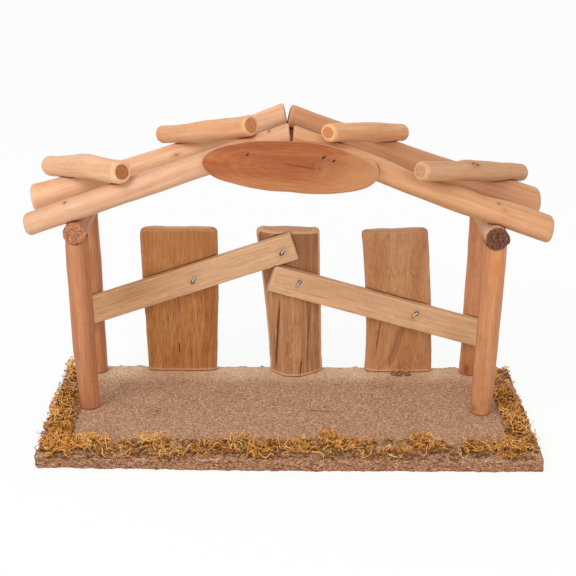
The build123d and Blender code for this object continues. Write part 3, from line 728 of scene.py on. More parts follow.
@dataclass(frozen=True)
class SawnWood(Finish):
    """A plank or lath sawn along the grain, with worn pale edges."""

    name: str
    pale: Colour
    warm: Colour
    streak: Colour
    edge: Colour
    end: Colour
    seed: float
    width: float = 0.0008
    stretch: float = 60.0
    streaks: float = 0.3
    lines: float = 0.42
    pores: float = 0.24
    wander: float = 0.0018
    worn: float = 0.3
    foot: float = 0.75
    far: Colour = tint(200, 150, 110)
    far_share: float = 0.0
    # Grooves along which the front is darkened with painted shade
    groove_shades: tuple[Crack, ...] = ()
    marks: tuple[Mark, ...] = ()
    cracks: tuple[Crack, ...] = ()
    shine: float = 0.3
    relief: float = 0.00022

    def dress(self, piece: Piece) -> None:
        """Gives a plank its long grain, pale edges, marks and cracks."""
        net, shader = self.start(piece)
        place = net.place()
        grain = GRAIN.put(
            net, Vector=place, Seed=self.seed, Width=self.width, Stretch=self.stretch, Wander=self.wander
        )
        wide = GRAIN.put(
            net, Vector=place, Seed=self.seed + 7.0, Width=self.width * 3.4, Stretch=14.0, Wander=self.wander
        )
        dirt = GRIME.put(net, Vector=place, Size=0.012, Seed=self.seed)
        rise = net.parted(place)[2]
        colour = net.mix(wide["Broad"], self.pale, self.warm)
        colour = net.layers(
            colour,
            (wide["Streak"], self.streaks * 0.6, self.streak),
            (grain["Streak"], self.streaks, self.streak),
            (grain["Line"], self.lines, self.streak),
            (wide["Line"], self.lines * 0.6, self.edge),
            (grain["Pore"], self.pores, self.streak),
            (dirt["Patch"], 0.18, self.streak),
        )
        upper = net.step(rise, 0.045, 0.1)
        colour = net.over(colour, upper, self.far_share, self.far)
        # Painted shade in each groove, as a darker smear along it
        for groove_shade in self.groove_shades:
            groove_shade_mask = self.crack_mask(net, piece, groove_shade)
            colour = net.over(colour, groove_shade_mask, 0.5, self.streak)
        foot = net.times(net.step(rise, 0.0028, 0.0014), self.foot)
        colour = net.mix(foot, colour, self.edge)
        worn = net.times(net.mask("rim"), self.worn)
        colour = net.mix(worn, colour, self.edge)
        cut = net.mask("cut")
        end = net.over(self.end, dirt["Speck"], 0.4, self.streak)
        colour = net.mix(cut, colour, end)
        # Painted shade: a dark line along the foot where the plank meets the board
        gap = net.times(net.step(rise, 0.0011, 0.0006), self.foot)
        colour = self.marked(net, piece, net.mix(gap, colour, SEAM_SHADE), self.marks)
        height = net.plus(grain["Height"], net.times(wide["Height"], 0.8))
        for crack in self.cracks:
            gap = self.crack_mask(net, piece, crack)
            colour = net.over(colour, gap, 0.85, tint(74, 40, 20))
            height = net.minus(height, gap)
        rough = net.math("MULTIPLY_ADD", grain["Streak"], 0.16, 0.56)
        self.coat(net, shader, self.seam_shaded(net, colour), rough, height)

    def crack_mask(self, net: Wiring, piece: Piece, crack: Crack) -> Socket:
        """Gives the mask of one crack of a plank that stands upright in the frame."""
        foot = piece.matrix_world.translation
        low, high = ((x * MM - foot.x, z * MM - foot.z) for x, z in (crack.low, crack.high))
        return self.crack_line(net, net.place(), low, high, crack.width)


@dataclass(frozen=True)
class SlantCutWood(Finish):
    """The oval face of a slanting cut across a branch, with long nested rings."""

    name: str
    pale: Colour
    warm: Colour
    ring: Colour
    light: Colour
    side: Colour
    seed: float
    stretch: float = 3.4
    marks: tuple[Mark, ...] = ()
    split: tuple[Spot, Spot] = ((0.0, 0.0, 0.0), (1.0, 0.0, 0.0))
    split_width: float = 0.75
    shine: float = 0.34
    relief: float = 0.00014

    def dress(self, piece: Piece) -> None:
        """Gives the plaque its drawn-out rings, its pith crack and its pale peeled edge."""
        net, shader = self.start(piece)
        place = net.place()
        x, y, z = net.parted(place)
        drawn = net.joined(net.ratio(x, self.stretch), y, z)
        rings = RINGS.put(net, Vector=drawn, Pitch=0.0021, Wobble=0.0026, Seed=self.seed)
        turned = net.joined(y, z, x)
        grain = GRAIN.put(net, Vector=turned, Seed=self.seed, Width=0.0014, Stretch=9.0, Wander=0.006)
        dirt = GRIME.put(net, Vector=place, Size=0.013, Seed=self.seed + 1.0)
        uneven = net.noise(place, 90.0, 2.0)
        slant = net.minus(x, net.times(y, 0.7))
        lighter = net.step(net.math("MULTIPLY_ADD", uneven, 0.022, slant), 0.018, 0.062)
        heart = net.step(net.vector("LENGTH", net.joined(net.ratio(x, 3.2), y, 0.0)), 0.015, 0.004)
        face = net.mix(grain["Broad"], self.warm, self.pale)
        face = net.layers(
            face,
            (heart, 0.5, self.warm),
            (rings["Ring"], 0.16, self.ring),
            (grain["Streak"], 0.2, self.ring),
            (grain["Pore"], 0.2, self.ring),
            (dirt["Patch"], 0.15, self.ring),
        )
        low = net.times(net.step(y, -0.005, -0.014), 0.5)
        face = net.mix(net.math("MAXIMUM", net.times(lighter, 0.75), low), face, self.light)
        face = net.over(face, self.crack_mask(net, piece, x, y), 0.8, self.ring)
        face = self.marked(net, piece, face, self.marks)
        side = net.over(self.side, grain["Streak"], 0.3, self.light)
        colour = net.mix(net.mask("cut"), side, face)
        rough = net.math("MULTIPLY_ADD", grain["Streak"], 0.15, 0.5)
        height = net.plus(grain["Height"], net.times(rings["Ring"], 0.4))
        self.coat(net, shader, colour, rough, height)

    def crack_mask(self, net: Wiring, piece: Piece, x: Socket, y: Socket) -> Socket:
        """Gives the mask of the fine crack that runs out from the pith along the oval."""
        to_local = piece.matrix_world.inverted()
        low, high = ((spot.y, spot.x) for spot in (to_local @ metres(end) for end in self.split))
        return self.crack_line(net, net.joined(y, -1.0, x), low, high, self.split_width)


@dataclass(frozen=True)
class PressedFibre(Finish):
    """Softboard pressed from wood fibre, smooth and flecked on top and torn at its edges."""

    name: str
    ground: Colour
    pale: Colour
    dark: Colour
    edge: Colour
    edge_dark: Colour
    edge_red: Colour
    scratches: tuple[Crack, ...] = ()
    seed: float = 1.0
    shine: float = 0.18
    relief: float = 0.0003

    def dress(self, piece: Piece) -> None:
        """Gives the board its flecks, and layers of torn fibre on its edges."""
        net, shader = self.start(piece)
        place = net.place()
        fleck = FLECK.put(net, Vector=place, Size=0.0008, Seed=self.seed)
        small = FLECK.put(net, Vector=place, Size=0.00055, Seed=self.seed + 5.0)
        stain = GRIME.put(net, Vector=place, Size=0.03, Seed=self.seed)
        chips = GRIME.put(net, Vector=place, Size=0.011, Seed=self.seed + 3.0)
        across, depth, level = net.parted(place)
        # Painted light: the top turns paler towards the back edge
        top = net.mix(net.step(depth, 0.032, 0.052), self.ground, self.pale)
        front = net.times(net.step(depth, -0.047, -0.057), 0.22)
        top = net.mix(front, top, self.edge_red)
        top = net.layers(
            top,
            (fleck["Cloud"], 0.3, self.edge),
            (stain["Patch"], 0.2, self.dark),
            (small["Dark"], 0.7, self.dark),
            (fleck["Dark"], 0.8, self.dark),
            (small["Pale"], 0.7, self.pale),
            (fleck["Pale"], 0.8, self.pale),
            (chips["Speck"], 0.7, self.pale),
        )
        lengthwise = net.joined(depth, -1.0, across)
        for scratch in self.scratches:
            low, high = ((y * MM, x * MM) for x, y in (scratch.low, scratch.high))
            line = self.crack_line(net, lengthwise, low, high, scratch.width)
            top = net.over(top, line, scratch.depth, self.edge_dark)
        layered = net.vector("MULTIPLY", place, (0.42, 0.42, 1.4))
        torn = GRIME.put(net, Vector=layered, Size=0.0012, Seed=self.seed + 2.0)
        lying = net.vector("MULTIPLY", place, (0.2, 0.2, 1.5))
        wide = GRIME.put(net, Vector=lying, Size=0.003, Seed=self.seed + 8.0)
        wall = net.mix(torn["Patch"], self.edge, self.edge_dark)
        wall = net.layers(
            wall,
            (wide["Patch"], 0.75, self.edge_red),
            (torn["Speck"], 0.9, self.pale),
            (fleck["Pale"], 0.7, self.pale),
        )
        bits = GRIME.put(net, Vector=layered, Size=0.004, Seed=self.seed + 6.0)
        wall = net.over(wall, bits["Speck"], 0.85, self.pale)
        wall = net.over(wall, fleck["Dark"], 0.9, self.edge_dark)
        drawn = net.vector("MULTIPLY", place, (0.12, 0.4, 1.6))
        peeled = GRIME.put(net, Vector=drawn, Size=0.0011, Seed=self.seed + 11.0)
        lip = net.times(net.step(level, 0.0052, 0.0068), net.step(peeled["Patch"], 0.55, 0.9))
        wall = net.over(wall, lip, 0.8, self.pale)
        edge = net.mask("rim")
        rough = net.math("MULTIPLY_ADD", fleck["Pale"], -0.12, 0.86)
        height = net.plus(fleck["Height"], net.times(torn["Patch"], edge))
        self.coat(net, shader, net.mix(edge, top, wall), rough, height)


@dataclass(frozen=True)
class DryMoss(Finish):
    """Curly dried moss, golden at its tips and brown below, with olive and amber strands; the brown low down
    is partly painted shade.
    """

    name: str
    root: Colour
    olive: Colour
    gold: Colour
    amber: Colour
    shine: float = 0.2
    relief: float = 0.0001

    def dress(self, piece: Piece) -> None:
        """Colours each strand by its own tone, and darkens it with painted shade by how deep in the moss it
        lies.
        """
        net, shader = self.start(piece)
        place = net.place()
        tone, rise = net.mask("tone"), net.mask("rise")
        dapple = net.noise(place, 1500.0, 2.0)
        colour = net.mix(net.step(tone, 0.05, 0.4), self.olive, self.gold)
        colour = net.mix(net.step(tone, 0.5, 0.95), colour, self.amber)
        colour = net.over(colour, net.step(dapple, 0.5, 0.7), 0.3, self.root)
        # Painted shade deep in the moss, in the brown of the roots
        colour = net.over(colour, net.step(rise, 0.56, 0.05), 0.86, self.root)
        rough = net.math("MULTIPLY_ADD", dapple, 0.2, 0.68)
        self.coat(net, shader, colour, rough, dapple)


@dataclass(frozen=True)
class DullWire(Finish):
    """Dull galvanised wire with scuffs, and painted shade on its flanks."""

    name: str
    bright: Colour
    dull: Colour
    metallic: float = 0.85
    shine: float = 0.5
    relief: float = 0.00004

    def dress(self, piece: Piece) -> None:
        """Gives wire its uneven grey, its scuffed shine and painted shade on its flanks toward the wood."""
        net, shader = self.start(piece)
        scuff = GRIME.put(net, Vector=net.place(), Size=0.0012, Seed=4.0)
        colour = net.mix(scuff["Patch"], self.bright, self.dull)
        # Painted shade: the flanks of the wire are darkened
        colour = net.mix(net.mask("flank"), colour, tint(52, 42, 36))
        rough = net.math("MULTIPLY_ADD", scuff["Speck"], 0.25, 0.38)
        shader.inputs["Metallic"].default_value = self.metallic
        self.coat(net, shader, colour, rough, scuff["Patch"])


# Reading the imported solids

SAME_POINT = 0.01 * MM
NOTCH = 0.05 * MM
FIT_ROUNDS = 12
FIT_FEWEST = 8


class Solid:
    """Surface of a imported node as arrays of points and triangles."""

    def __init__(self, node: str) -> None:
        """Reads the node's mesh."""
        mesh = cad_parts[node].data
        points = np.empty(len(mesh.vertices) * 3)
        mesh.vertices.foreach_get("co", points)
        self.points = points.reshape(-1, 3)
        mesh.calc_loop_triangles()
        corners = np.empty(len(mesh.loop_triangles) * 3, int)
        mesh.loop_triangles.foreach_get("vertices", corners)
        self.triangles = corners.reshape(-1, 3)
        pairs = self.triangles[:, [0, 1, 1, 2, 2, 0]].reshape(-1, 2)
        self.edges = np.unique(np.sort(pairs, axis=1), axis=0)

    def long_axis(self) -> Array:
        """Gives the direction in which the surface reaches furthest."""
        a, b, c = (self.points[self.triangles[:, k]] for k in range(3))
        area = np.linalg.norm(np.cross(b - a, c - a), axis=1)
        middle = (a + b + c) / 3
        centre = (middle * area[:, None]).sum(0) / area.sum()
        spread = ((middle - centre) * area[:, None]).T @ (middle - centre)
        return np.linalg.eigh(spread)[1][:, -1]

    def crossing(self, origin: Array, direction: Array) -> Array:
        """Finds where the surface meets a plane.

        Args:
            origin: A point of the plane.
            direction: The plane's normal.

        Returns:
            The points where the surface's edges cross the plane.
        """
        height = (self.points - origin) @ direction
        first, second = self.edges[:, 0], self.edges[:, 1]
        cut = (height[first] < 0) != (height[second] < 0)
        first, second = first[cut], second[cut]
        share = height[first] / (height[first] - height[second])
        return self.points[first] + share[:, None] * (self.points[second] - self.points[first])

    def loose_parts(self) -> list[Array]:
        """Gives the points of each separate piece of the surface."""
        _, label = np.unique(np.round(self.points / SAME_POINT), axis=0, return_inverse=True)
        label = label.reshape(-1)
        first, second = label[self.edges[:, 0]], label[self.edges[:, 1]]
        group = np.arange(label.max() + 1)
        while True:
            least = np.minimum(group[first], group[second])
            merged = group.copy()
            np.minimum.at(merged, first, least)
            np.minimum.at(merged, second, least)
            if (merged == group).all():
                break
            group = merged
        owner = group[label]
        return [self.points[owner == number] for number in np.unique(owner)]


def circle_through(points: Array) -> tuple[Array, float]:
    """Fits a circle to the outside of a section, leaving out notches and holes.

    Args:
        points: The section's points in its own plane.

    Returns:
        The circle's middle and its radius.
    """
    kept = points
    for _ in range(FIT_ROUNDS):
        rows = beside([2 * kept, np.ones(len(kept))])
        found = np.linalg.lstsq(rows, (kept**2).sum(1), rcond=None)[0]
        middle, radius = found[:2], math.sqrt(found[2] + found[:2] @ found[:2])
        outside = np.linalg.norm(points - middle, axis=1) - radius
        close = points[outside > -NOTCH]
        if len(close) < FIT_FEWEST or len(close) == len(kept):
            break
        kept = close
    return middle, radius


class StickLine:
    """Middle line and girth of a round stick, read off its solid, in the stick's own axes."""

    STATIONS = 26
    END_ROOM = 4.6 * MM

    def __init__(self, node: str, toward: Spot, up: Spot) -> None:
        """Measures a stick.

        Args:
            node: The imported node.
            toward: Rough direction from the stick's start to its end.
            up: Rough direction of the stick's own y.
        """
        solid = Solid(node)
        axis = solid.long_axis()
        axis = axis * np.sign(axis @ np.array(toward))
        for _ in range(2):
            self.set_axes(axis, np.array(up, float))
            runs = solid.points @ self.z
            low, high = runs.min(), runs.max()
            self.runs = np.linspace(low + self.END_ROOM, high - self.END_ROOM, self.STATIONS)
            fits = [self.fit(solid, run) for run in self.runs]
            self.middles = np.array([middle for middle, _ in fits])
            self.radii = np.array([radius for _, radius in fits])
            spine = self.middles @ np.array([self.x, self.y]) + self.runs[:, None] * self.z
            axis = np.linalg.svd(spine - spine.mean(0))[2][0]
            axis = axis * np.sign(axis @ np.array(toward))
        self.length = high - low
        self.runs = self.runs - low
        self.start = self.middles[0]
        self.middles = self.middles - self.start
        origin = self.x * self.start[0] + self.y * self.start[1] + self.z * low
        self.matrix = placed(self.x, self.y, self.z, origin)

    def set_axes(self, axis: Array, up: Array) -> None:
        """Sets the stick's own axes from its direction and the way that is up."""
        self.z = unit(axis)
        flat = up - self.z * (up @ self.z)
        self.y = unit(flat)
        self.x = np.cross(self.y, self.z)

    def fit(self, solid: Solid, run: float) -> tuple[Array, float]:
        """Fits a circle to the section at a run along the axis."""
        section = solid.crossing(self.z * run, self.z)
        return circle_through(beside([section @ self.x, section @ self.y]))

    def at(self, run: Array) -> tuple[Array, Array, Array]:
        """Reads the stick between its stations.

        Args:
            run: Distances from the stick's start.

        Returns:
            The middle line's x and y, and the radius.
        """
        x, y = (np.interp(run, self.runs, self.middles[:, k]) for k in range(2))
        return x, y, np.interp(run, self.runs, self.radii)


# Meshes

WELD = 0.001 * MM


@dataclass
class Draft:
    """Points, faces and point masks of a piece before it becomes an object."""

    points: Array
    faces: list[tuple[int, ...]]
    masks: dict[str, Array] = field(default_factory=dict)
    corners: Array | None = None

    def make(self, name: str, matrix: Matrix | None = None) -> Piece:
        """Makes the object.

        Args:
            name: Name of the piece.
            matrix: Place of the piece's own axes in the frame.

        Returns:
            The new object, smooth shaded and riding on the body.
        """
        mesh = bpy.data.meshes.new(name)
        mesh.from_pydata(self.points.tolist(), [], self.faces)
        for mask, values in self.masks.items():
            layer = mesh.attributes.new(mask, "FLOAT", "POINT")
            layer.data.foreach_set("value", np.asarray(values, np.float32))
        if self.corners is not None:
            layer = mesh.uv_layers.new(name=BAKE_MAP)
            layer.uv.foreach_set("vector", np.asarray(self.corners, np.float32).ravel())
        mesh.shade_smooth()
        mesh.update()
        piece = bpy.data.objects.new(name, mesh)
        bpy.context.scene.collection.objects.link(piece)
        piece.matrix_world = matrix or Matrix.Identity(4)
        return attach(piece, BODY)


@dataclass
class Part:
    """What all dressed pieces share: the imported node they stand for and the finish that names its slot."""

    node: str
    finish: Finish

    def stand(self, piece: Piece) -> Piece:
        """Lets a piece stand for its node and with its finish."""
        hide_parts(self.node)
        self.finish.dress(piece)
        return piece


def welded(piece: Piece) -> None:
    """Joins the points of a piece that lie on each other and turns its faces outwards."""
    made = bmesh.new()
    made.from_mesh(piece.data)
    bmesh.ops.remove_doubles(made, verts=made.verts, dist=WELD)
    bmesh.ops.recalc_face_normals(made, faces=made.faces)
    made.to_mesh(piece.data)
    made.free()


def ring_faces(rows: int, around: int) -> list[tuple[int, ...]]:
    """Gives the quads between closed rows of points, one row after the other."""
    faces = []
    for row in range(rows - 1):
        low, high = row * around, (row + 1) * around
        for k in range(around):
            after = (k + 1) % around
            faces.append((low + k, low + after, high + after, high + k))
    return faces


def end_to_end(
    length: float, start: float, end: float, step: float, caps: Sequence[float], side: float, bends: int
) -> Array:
    """Lays out the rows of points from the middle of one end to the middle of the other.

    Args:
        length: Length of the piece.
        start: Rounding of its start.
        end: Rounding of its end.
        step: Distance of the rows between.
        caps: Shares of the rows on the end faces.
        side: Share of the rows on the sides.
        bends: Rows on each rounding.

    Returns:
        Run along the piece, share and inset by the end rounding of each row.
    """
    turns = np.linspace(0, math.pi / 2, bends)
    rows = [(0.0, cap, start) for cap in caps]
    rows += [(start * (1 - math.cos(turn)), side, start * (1 - math.sin(turn))) for turn in turns]
    count = max(int((length - end - start) / step), 2)
    rows += [(run, side, 0.0) for run in np.linspace(start, length - end, count + 1)[1:-1]]
    rows += [(length - end * (1 - math.cos(turn)), side, end * (1 - math.sin(turn))) for turn in turns[::-1]]
    rows += [(length, cap, end) for cap in caps[::-1]]
    return np.array(rows).T


@dataclass(frozen=True)
class Hump:
    """A swelling on a stick where a branch once grew, in millimetres."""

    spot: Spot
    height: float
    length: float
    spread: float


@dataclass
class PeeledStick(Part):
    """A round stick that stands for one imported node: a post, log, rafter or roof stick."""

    END_BENDS = 7
    WAVE, RIPPLE = 6 * MM, 2.4 * MM
    BURR, BURR_REACH = 2.0 * MM, 1.6 * MM
    END_GRAIN, TILT_REACH = 1.1 * MM, 16 * MM

    finish: PeeledWood
    toward: Spot
    up: Spot
    start_round: float
    end_round: float
    seed: int
    waviness: float = 0.28
    oval: float = 0.012
    end_roughness: float = 0.06
    humps: tuple[Hump, ...] = ()
    trims: tuple[float, float] = (0.0, 0.0)
    lifts: Course = STILL
    sways: Course = STILL
    swells: Course = STILL
    tilts: tuple[float, float] = (0.0, 0.0)
    disc_shift: float = 0.0
    row_step: float = 1.1
    around: int = 56
    cap_rows: tuple[float, ...] = (0.06, 0.2, 0.36, 0.52, 0.68, 0.82, 0.93)

    def build(self) -> Piece:
        """Builds the stick's mesh over its solid.

        Returns:
            The dressed piece.
        """
        line = StickLine(self.node, self.toward, self.up)
        length = line.length - sum(self.trims) * MM
        runs, shares, insets = end_to_end(
            length, self.start_round * MM, self.end_round * MM, self.row_step * MM, self.cap_rows, 1.0,
            self.END_BENDS,
        )
        runs = runs + self.trims[0] * MM
        angle = np.linspace(0, 2 * math.pi, self.around, endpoint=False)
        run, turn = (grid.ravel() for grid in np.meshgrid(runs, angle, indexing="ij"))
        share, inset = np.repeat(shares, self.around), np.repeat(insets, self.around)
        x, y, radius = line.at(run)
        portion = run / line.length
        x, y = x + along(self.sways, portion), y + along(self.lifts, portion)
        radius = radius + along(self.swells, portion)
        out = beside([np.cos(turn), np.sin(turn)])
        field_ = SoftField(self.seed)
        skin = beside([out * radius[:, None], run * 0.3])
        girth = radius * (1 + self.oval * np.cos(2 * turn + self.seed))
        girth += self.waviness * MM * (field_.at(skin, self.WAVE) + 0.45 * field_.at(skin + 0.5, self.RIPPLE))
        girth += self.hump_lift(line, run, turn, radius)
        bare = self.finish.cut is EndCut.RINGED
        if not bare:
            ends = np.minimum(run - runs[0], runs[-1] - run)
            burr = field_.at(beside([out * radius[:, None], run]) + 0.2, self.BURR)
            girth += self.end_roughness * MM * burr * np.exp(-ends / self.BURR_REACH)
        reach = (girth - inset) * share
        end = share < 1
        rough = field_.at(beside([out * reach[:, None], run + 0.3]), self.END_GRAIN)
        push = np.where(end, self.end_roughness * MM * rough * (1 - share**6), 0.0)
        for tilt, away in zip(self.tilts, (run - runs[0], runs[-1] - run)):
            push = push + tilt * np.clip(1 - away / self.TILT_REACH, 0, 1) ** 2 * out[:, 1] * reach
        aside = np.where(run < runs[-1] / 2, inset / self.start_round, 0.0) * self.disc_shift
        points = beside([x + out[:, 0] * reach + aside, y + out[:, 1] * reach, run + push])
        faces = ring_faces(len(runs), self.around)
        hub_low, hub_high, last = len(points), len(points) + 1, len(points) - self.around
        hubs = [[x[0] + aside[0], y[0], runs[0]], [x[-1], y[-1], runs[-1]]]
        for k in range(self.around):
            after = (k + 1) % self.around
            faces.append((hub_low, after, k))
            faces.append((hub_high, last + k, last + after))
        rim = np.where(inset > 0, 1.0, 0.0) * (share >= 1)
        cut = end.astype(float) if bare else np.maximum(end, rim)
        disc = np.where(end, share, 1.0)
        masks = {name: np.append(values, [hub, hub]) for name, values, hub in (
            ("cut", cut, 1), ("rim", rim, 0), ("disc", disc, 0)
        )}
        piece = Draft(np.vstack([points, hubs]), faces, masks).make(f"{self.node}_wood", line.matrix)
        return self.stand(piece)

    def hump_lift(self, line: StickLine, run: Array, turn: Array, radius: Array) -> Array:
        """Gives how far the stick's humps lift its surface at each point."""
        lift = np.zeros(len(run))
        to_local = line.matrix.inverted()
        for hump in self.humps:
            spot = to_local @ metres(hump.spot)
            ahead = (run - spot.z) / (hump.length * MM)
            aside = np.angle(np.exp(1j * (turn - math.atan2(spot.y, spot.x)))) * radius / (hump.spread * MM)
            lift += hump.height * MM * np.exp(-(ahead**2) - aside**2)
        return lift


class SlabOutline:
    """Points round the section of a slab: the inner corner each belongs to and its outward direction."""

    def __init__(self, columns: int, side_rows: int, corner_steps: int) -> None:
        """Goes round from the front left: front, right side, back, left side, with a corner after each."""
        rows: list[tuple[float, float, float, float, float]] = []
        turn = -math.pi / 2
        for count in (columns, side_rows, columns, side_rows):
            out = np.array([math.cos(turn), math.sin(turn)])
            side = np.array([-out[1], out[0]])
            for share in np.linspace(-1, 1, count):
                rows.append((*(out + side * share), *out, 0.0))
            for part in np.linspace(0, math.pi / 2, corner_steps + 1)[1:-1]:
                rows.append((*(out + side), math.cos(turn + part), math.sin(turn + part), 1.0))
            turn += math.pi / 2
        table = np.array(rows)
        self.inner, self.out, self.corner = table[:, :2], table[:, 2:4], table[:, 4]


@dataclass
class Slab(Part):
    """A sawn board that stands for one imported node: a plank of the back wall or a lath across it."""

    STATIONS = 24
    END_ROOM = 3.0 * MM
    END_BENDS = 6
    WAVE, RIPPLE = 7 * MM, 2.2 * MM
    EDGE_WAVE, EDGE_RIPPLE = 13 * MM, 4 * MM
    END_REACH, END_WAVE = 14 * MM, 8 * MM
    SAW_REACH, SAW_PITCH = 3 * MM, 2.3 * MM

    finish: SawnWood
    seed: int
    along: Spot = (0.0, 0.0, 1.0)
    even: bool = False
    edge_round: float = 2.0
    start_round: float = 0.6
    end_round: float = 1.6
    waviness: float = 0.16
    live_edge: float = 0.22
    end_wave: float = 0.6
    end_slant: float = 0.0
    teeth: float = 0.0
    left_wide: Course = STILL
    right_wide: Course = STILL
    taller: float = 0.0
    top_corner: float = 0.0
    left_fall: Course = STILL
    right_fall: Course = STILL
    fall_from: tuple[float, float] = (0.6, 0.6)
    belly: Course = STILL
    columns: int = 84
    side_rows: int = 9
    corner_steps: int = 7
    row_step: float = 1.1
    cap_rows: tuple[float, ...] = (1.0, 0.7, 0.35)
    grooves: tuple[Crack, ...] = ()

    def measure(self) -> None:
        """Reads the slab's own axes, its length and its four sides off its solid."""
        solid = Solid(self.node)
        z = np.array(self.along, float)
        if self.even:
            axis = solid.long_axis()
            axis[1] = 0.0
            z = axis * np.sign(axis @ z)
        z = unit(z)
        y = np.array([0.0, 1.0, 0.0])
        x = np.cross(y, z)
        runs = solid.points @ z
        low, high = runs.min(), runs.max()
        self.length = high - low + self.taller * MM
        stations = np.linspace(low + self.END_ROOM, high - self.END_ROOM, self.STATIONS)
        sides = np.array([self.sides(solid, x, y, z, run) for run in stations])
        if self.even:
            sides[:] = np.median(sides, axis=0)
        self.runs = stations - low
        foot = sides[0]
        middle = ((foot[0] + foot[1]) / 2, (foot[2] + foot[3]) / 2)
        self.sides_at = sides - np.array([middle[0], middle[0], middle[1], middle[1]])
        origin = x * middle[0] + y * middle[1] + z * low
        self.matrix = placed(x, y, z, origin)

    @staticmethod
    def sides(solid: Solid, x: Array, y: Array, z: Array, run: float) -> list[float]:
        """Reads one section: its left, right, front and back."""
        section = solid.crossing(z * run, z)
        across, deep = section @ x, section @ y
        return [across.min(), across.max(), deep.min(), deep.max()]

    def build(self) -> Piece:
        """Builds the slab's mesh over its solid.

        Returns:
            The dressed piece.
        """
        self.measure()
        outline = SlabOutline(self.columns, self.side_rows, self.corner_steps)
        around = len(outline.corner)
        runs, shares, insets = end_to_end(
            self.length, self.start_round * MM, self.end_round * MM, self.row_step * MM, self.cap_rows, 0.0,
            self.END_BENDS,
        )
        run, inset, share = (np.repeat(values, around) for values in (runs, insets, shares))
        inner, out = np.tile(outline.inner, (len(runs), 1)), np.tile(outline.out, (len(runs), 1))
        corner = np.tile(outline.corner, len(runs))
        left, right, front, back = (np.interp(run, self.runs, self.sides_at[:, k]) for k in range(4))
        portion = run / self.length
        left, right = left - along(self.left_wide, portion), right + along(self.right_wide, portion)
        turn = np.clip(run - self.length + self.top_corner * MM, 0, None)
        shrink = self.top_corner * MM - np.sqrt(np.clip((self.top_corner * MM) ** 2 - turn**2, 0, None))
        half = beside([right - left, back - front]) / 2 - beside([shrink * 0.8, 0 * run])
        middle = beside([right + left, back + front]) / 2
        bend = self.edge_round * MM
        flat = inner * (half - bend) + out * (bend - inset[:, None])
        spine = beside([np.clip(flat[:, 0], half[:, 1] - half[:, 0], half[:, 0] - half[:, 1]), 0 * run])
        field_ = SoftField(self.seed)
        skin = beside([flat, run * 0.3])
        lift = self.waviness * MM * (field_.at(skin, self.WAVE) + 0.4 * field_.at(skin + 0.4, self.RIPPLE))
        edge = np.clip(np.abs(flat[:, 0]) / half[:, 0], 0, 1) ** 8
        sway = beside([np.sign(flat[:, 0]) * 0.1, 0 * run, run])
        uneven = field_.at(sway, self.EDGE_WAVE) + 0.4 * field_.at(sway, self.EDGE_RIPPLE)
        lift_x = self.live_edge * MM * edge * uneven
        flat = flat + out * lift[:, None]
        flat[:, 0] += lift_x * np.sign(flat[:, 0])
        aside = np.clip(flat[:, 0] / half[:, 0], -1, 1)
        flat[:, 1] += (1 - inner[:, 1]) / 2 * self.front_fall(aside, portion)
        flat = flat * (1 - share[:, None]) + spine * share[:, None] + middle
        length = run + self.end_shift(field_, flat[:, 0], run)
        points = beside([flat, length])
        points[:, 1] += self.groove_depth(points) * (out[:, 1] < -0.9) * (share == 0)
        flank = 0.4 * (np.abs(out[:, 0]) > 0.9)
        rim = np.clip(corner * np.abs(out[:, 0] * out[:, 1]) * 2 + flank + (inset > 0), 0, 1)
        masks = {"cut": (share > 0).astype(float), "rim": rim * (share == 0)}
        piece = Draft(points, ring_faces(len(runs), around), masks).make(f"{self.node}_wood", self.matrix)
        welded(piece)
        return self.stand(piece)

    def front_fall(self, across: Array, portion: Array) -> Array:
        """Gives how far the front falls back towards its two sides, less its belly between them."""
        fall = -along(self.belly, portion) * (1 - across**2)
        for side, start, course in zip((-across, across), self.fall_from, (self.left_fall, self.right_fall)):
            fall = fall + along(course, portion) * np.clip((side - start) / (1 - start), 0, 1) ** 1.5
        return fall

    def end_shift(self, field_: SoftField, across: Array, run: Array) -> Array:
        """Gives how far the far end's wave, slant and saw teeth move each point along the slab."""
        near = np.clip((run - self.length + self.END_REACH) / self.END_REACH, 0, 1)
        wave = field_.at(beside([across, 0 * run + 0.2, 0 * run]), self.END_WAVE)
        shift = self.end_wave * MM * wave + self.end_slant * across
        last = np.clip((run - self.length + self.SAW_REACH) / self.SAW_REACH, 0, 1)
        saw = np.abs(((across / self.SAW_PITCH) % 1.0) * 2 - 1)
        return shift * near**2 - self.teeth * MM * saw * last**2

    def groove_depth(self, points: Array) -> Array:
        """Gives how deep the cracks and grooves cut into each point of the front."""
        depth = np.zeros(len(points))
        foot = self.matrix.translation
        for crack in (*self.finish.cracks, *self.grooves):
            low, high = (np.array(end) * MM - (foot.x, foot.z) for end in (crack.low, crack.high))
            share = (points[:, 2] - low[1]) / (high[1] - low[1])
            line = low[0] + share * (high[0] - low[0])
            taper = np.clip(share * 6, 0, 1) * np.clip((1 - share) * 6, 0, 1)
            aside = (points[:, 0] - line) / (crack.width * MM)
            depth += crack.depth * MM * taper * np.exp(-(aside**2))
        return depth


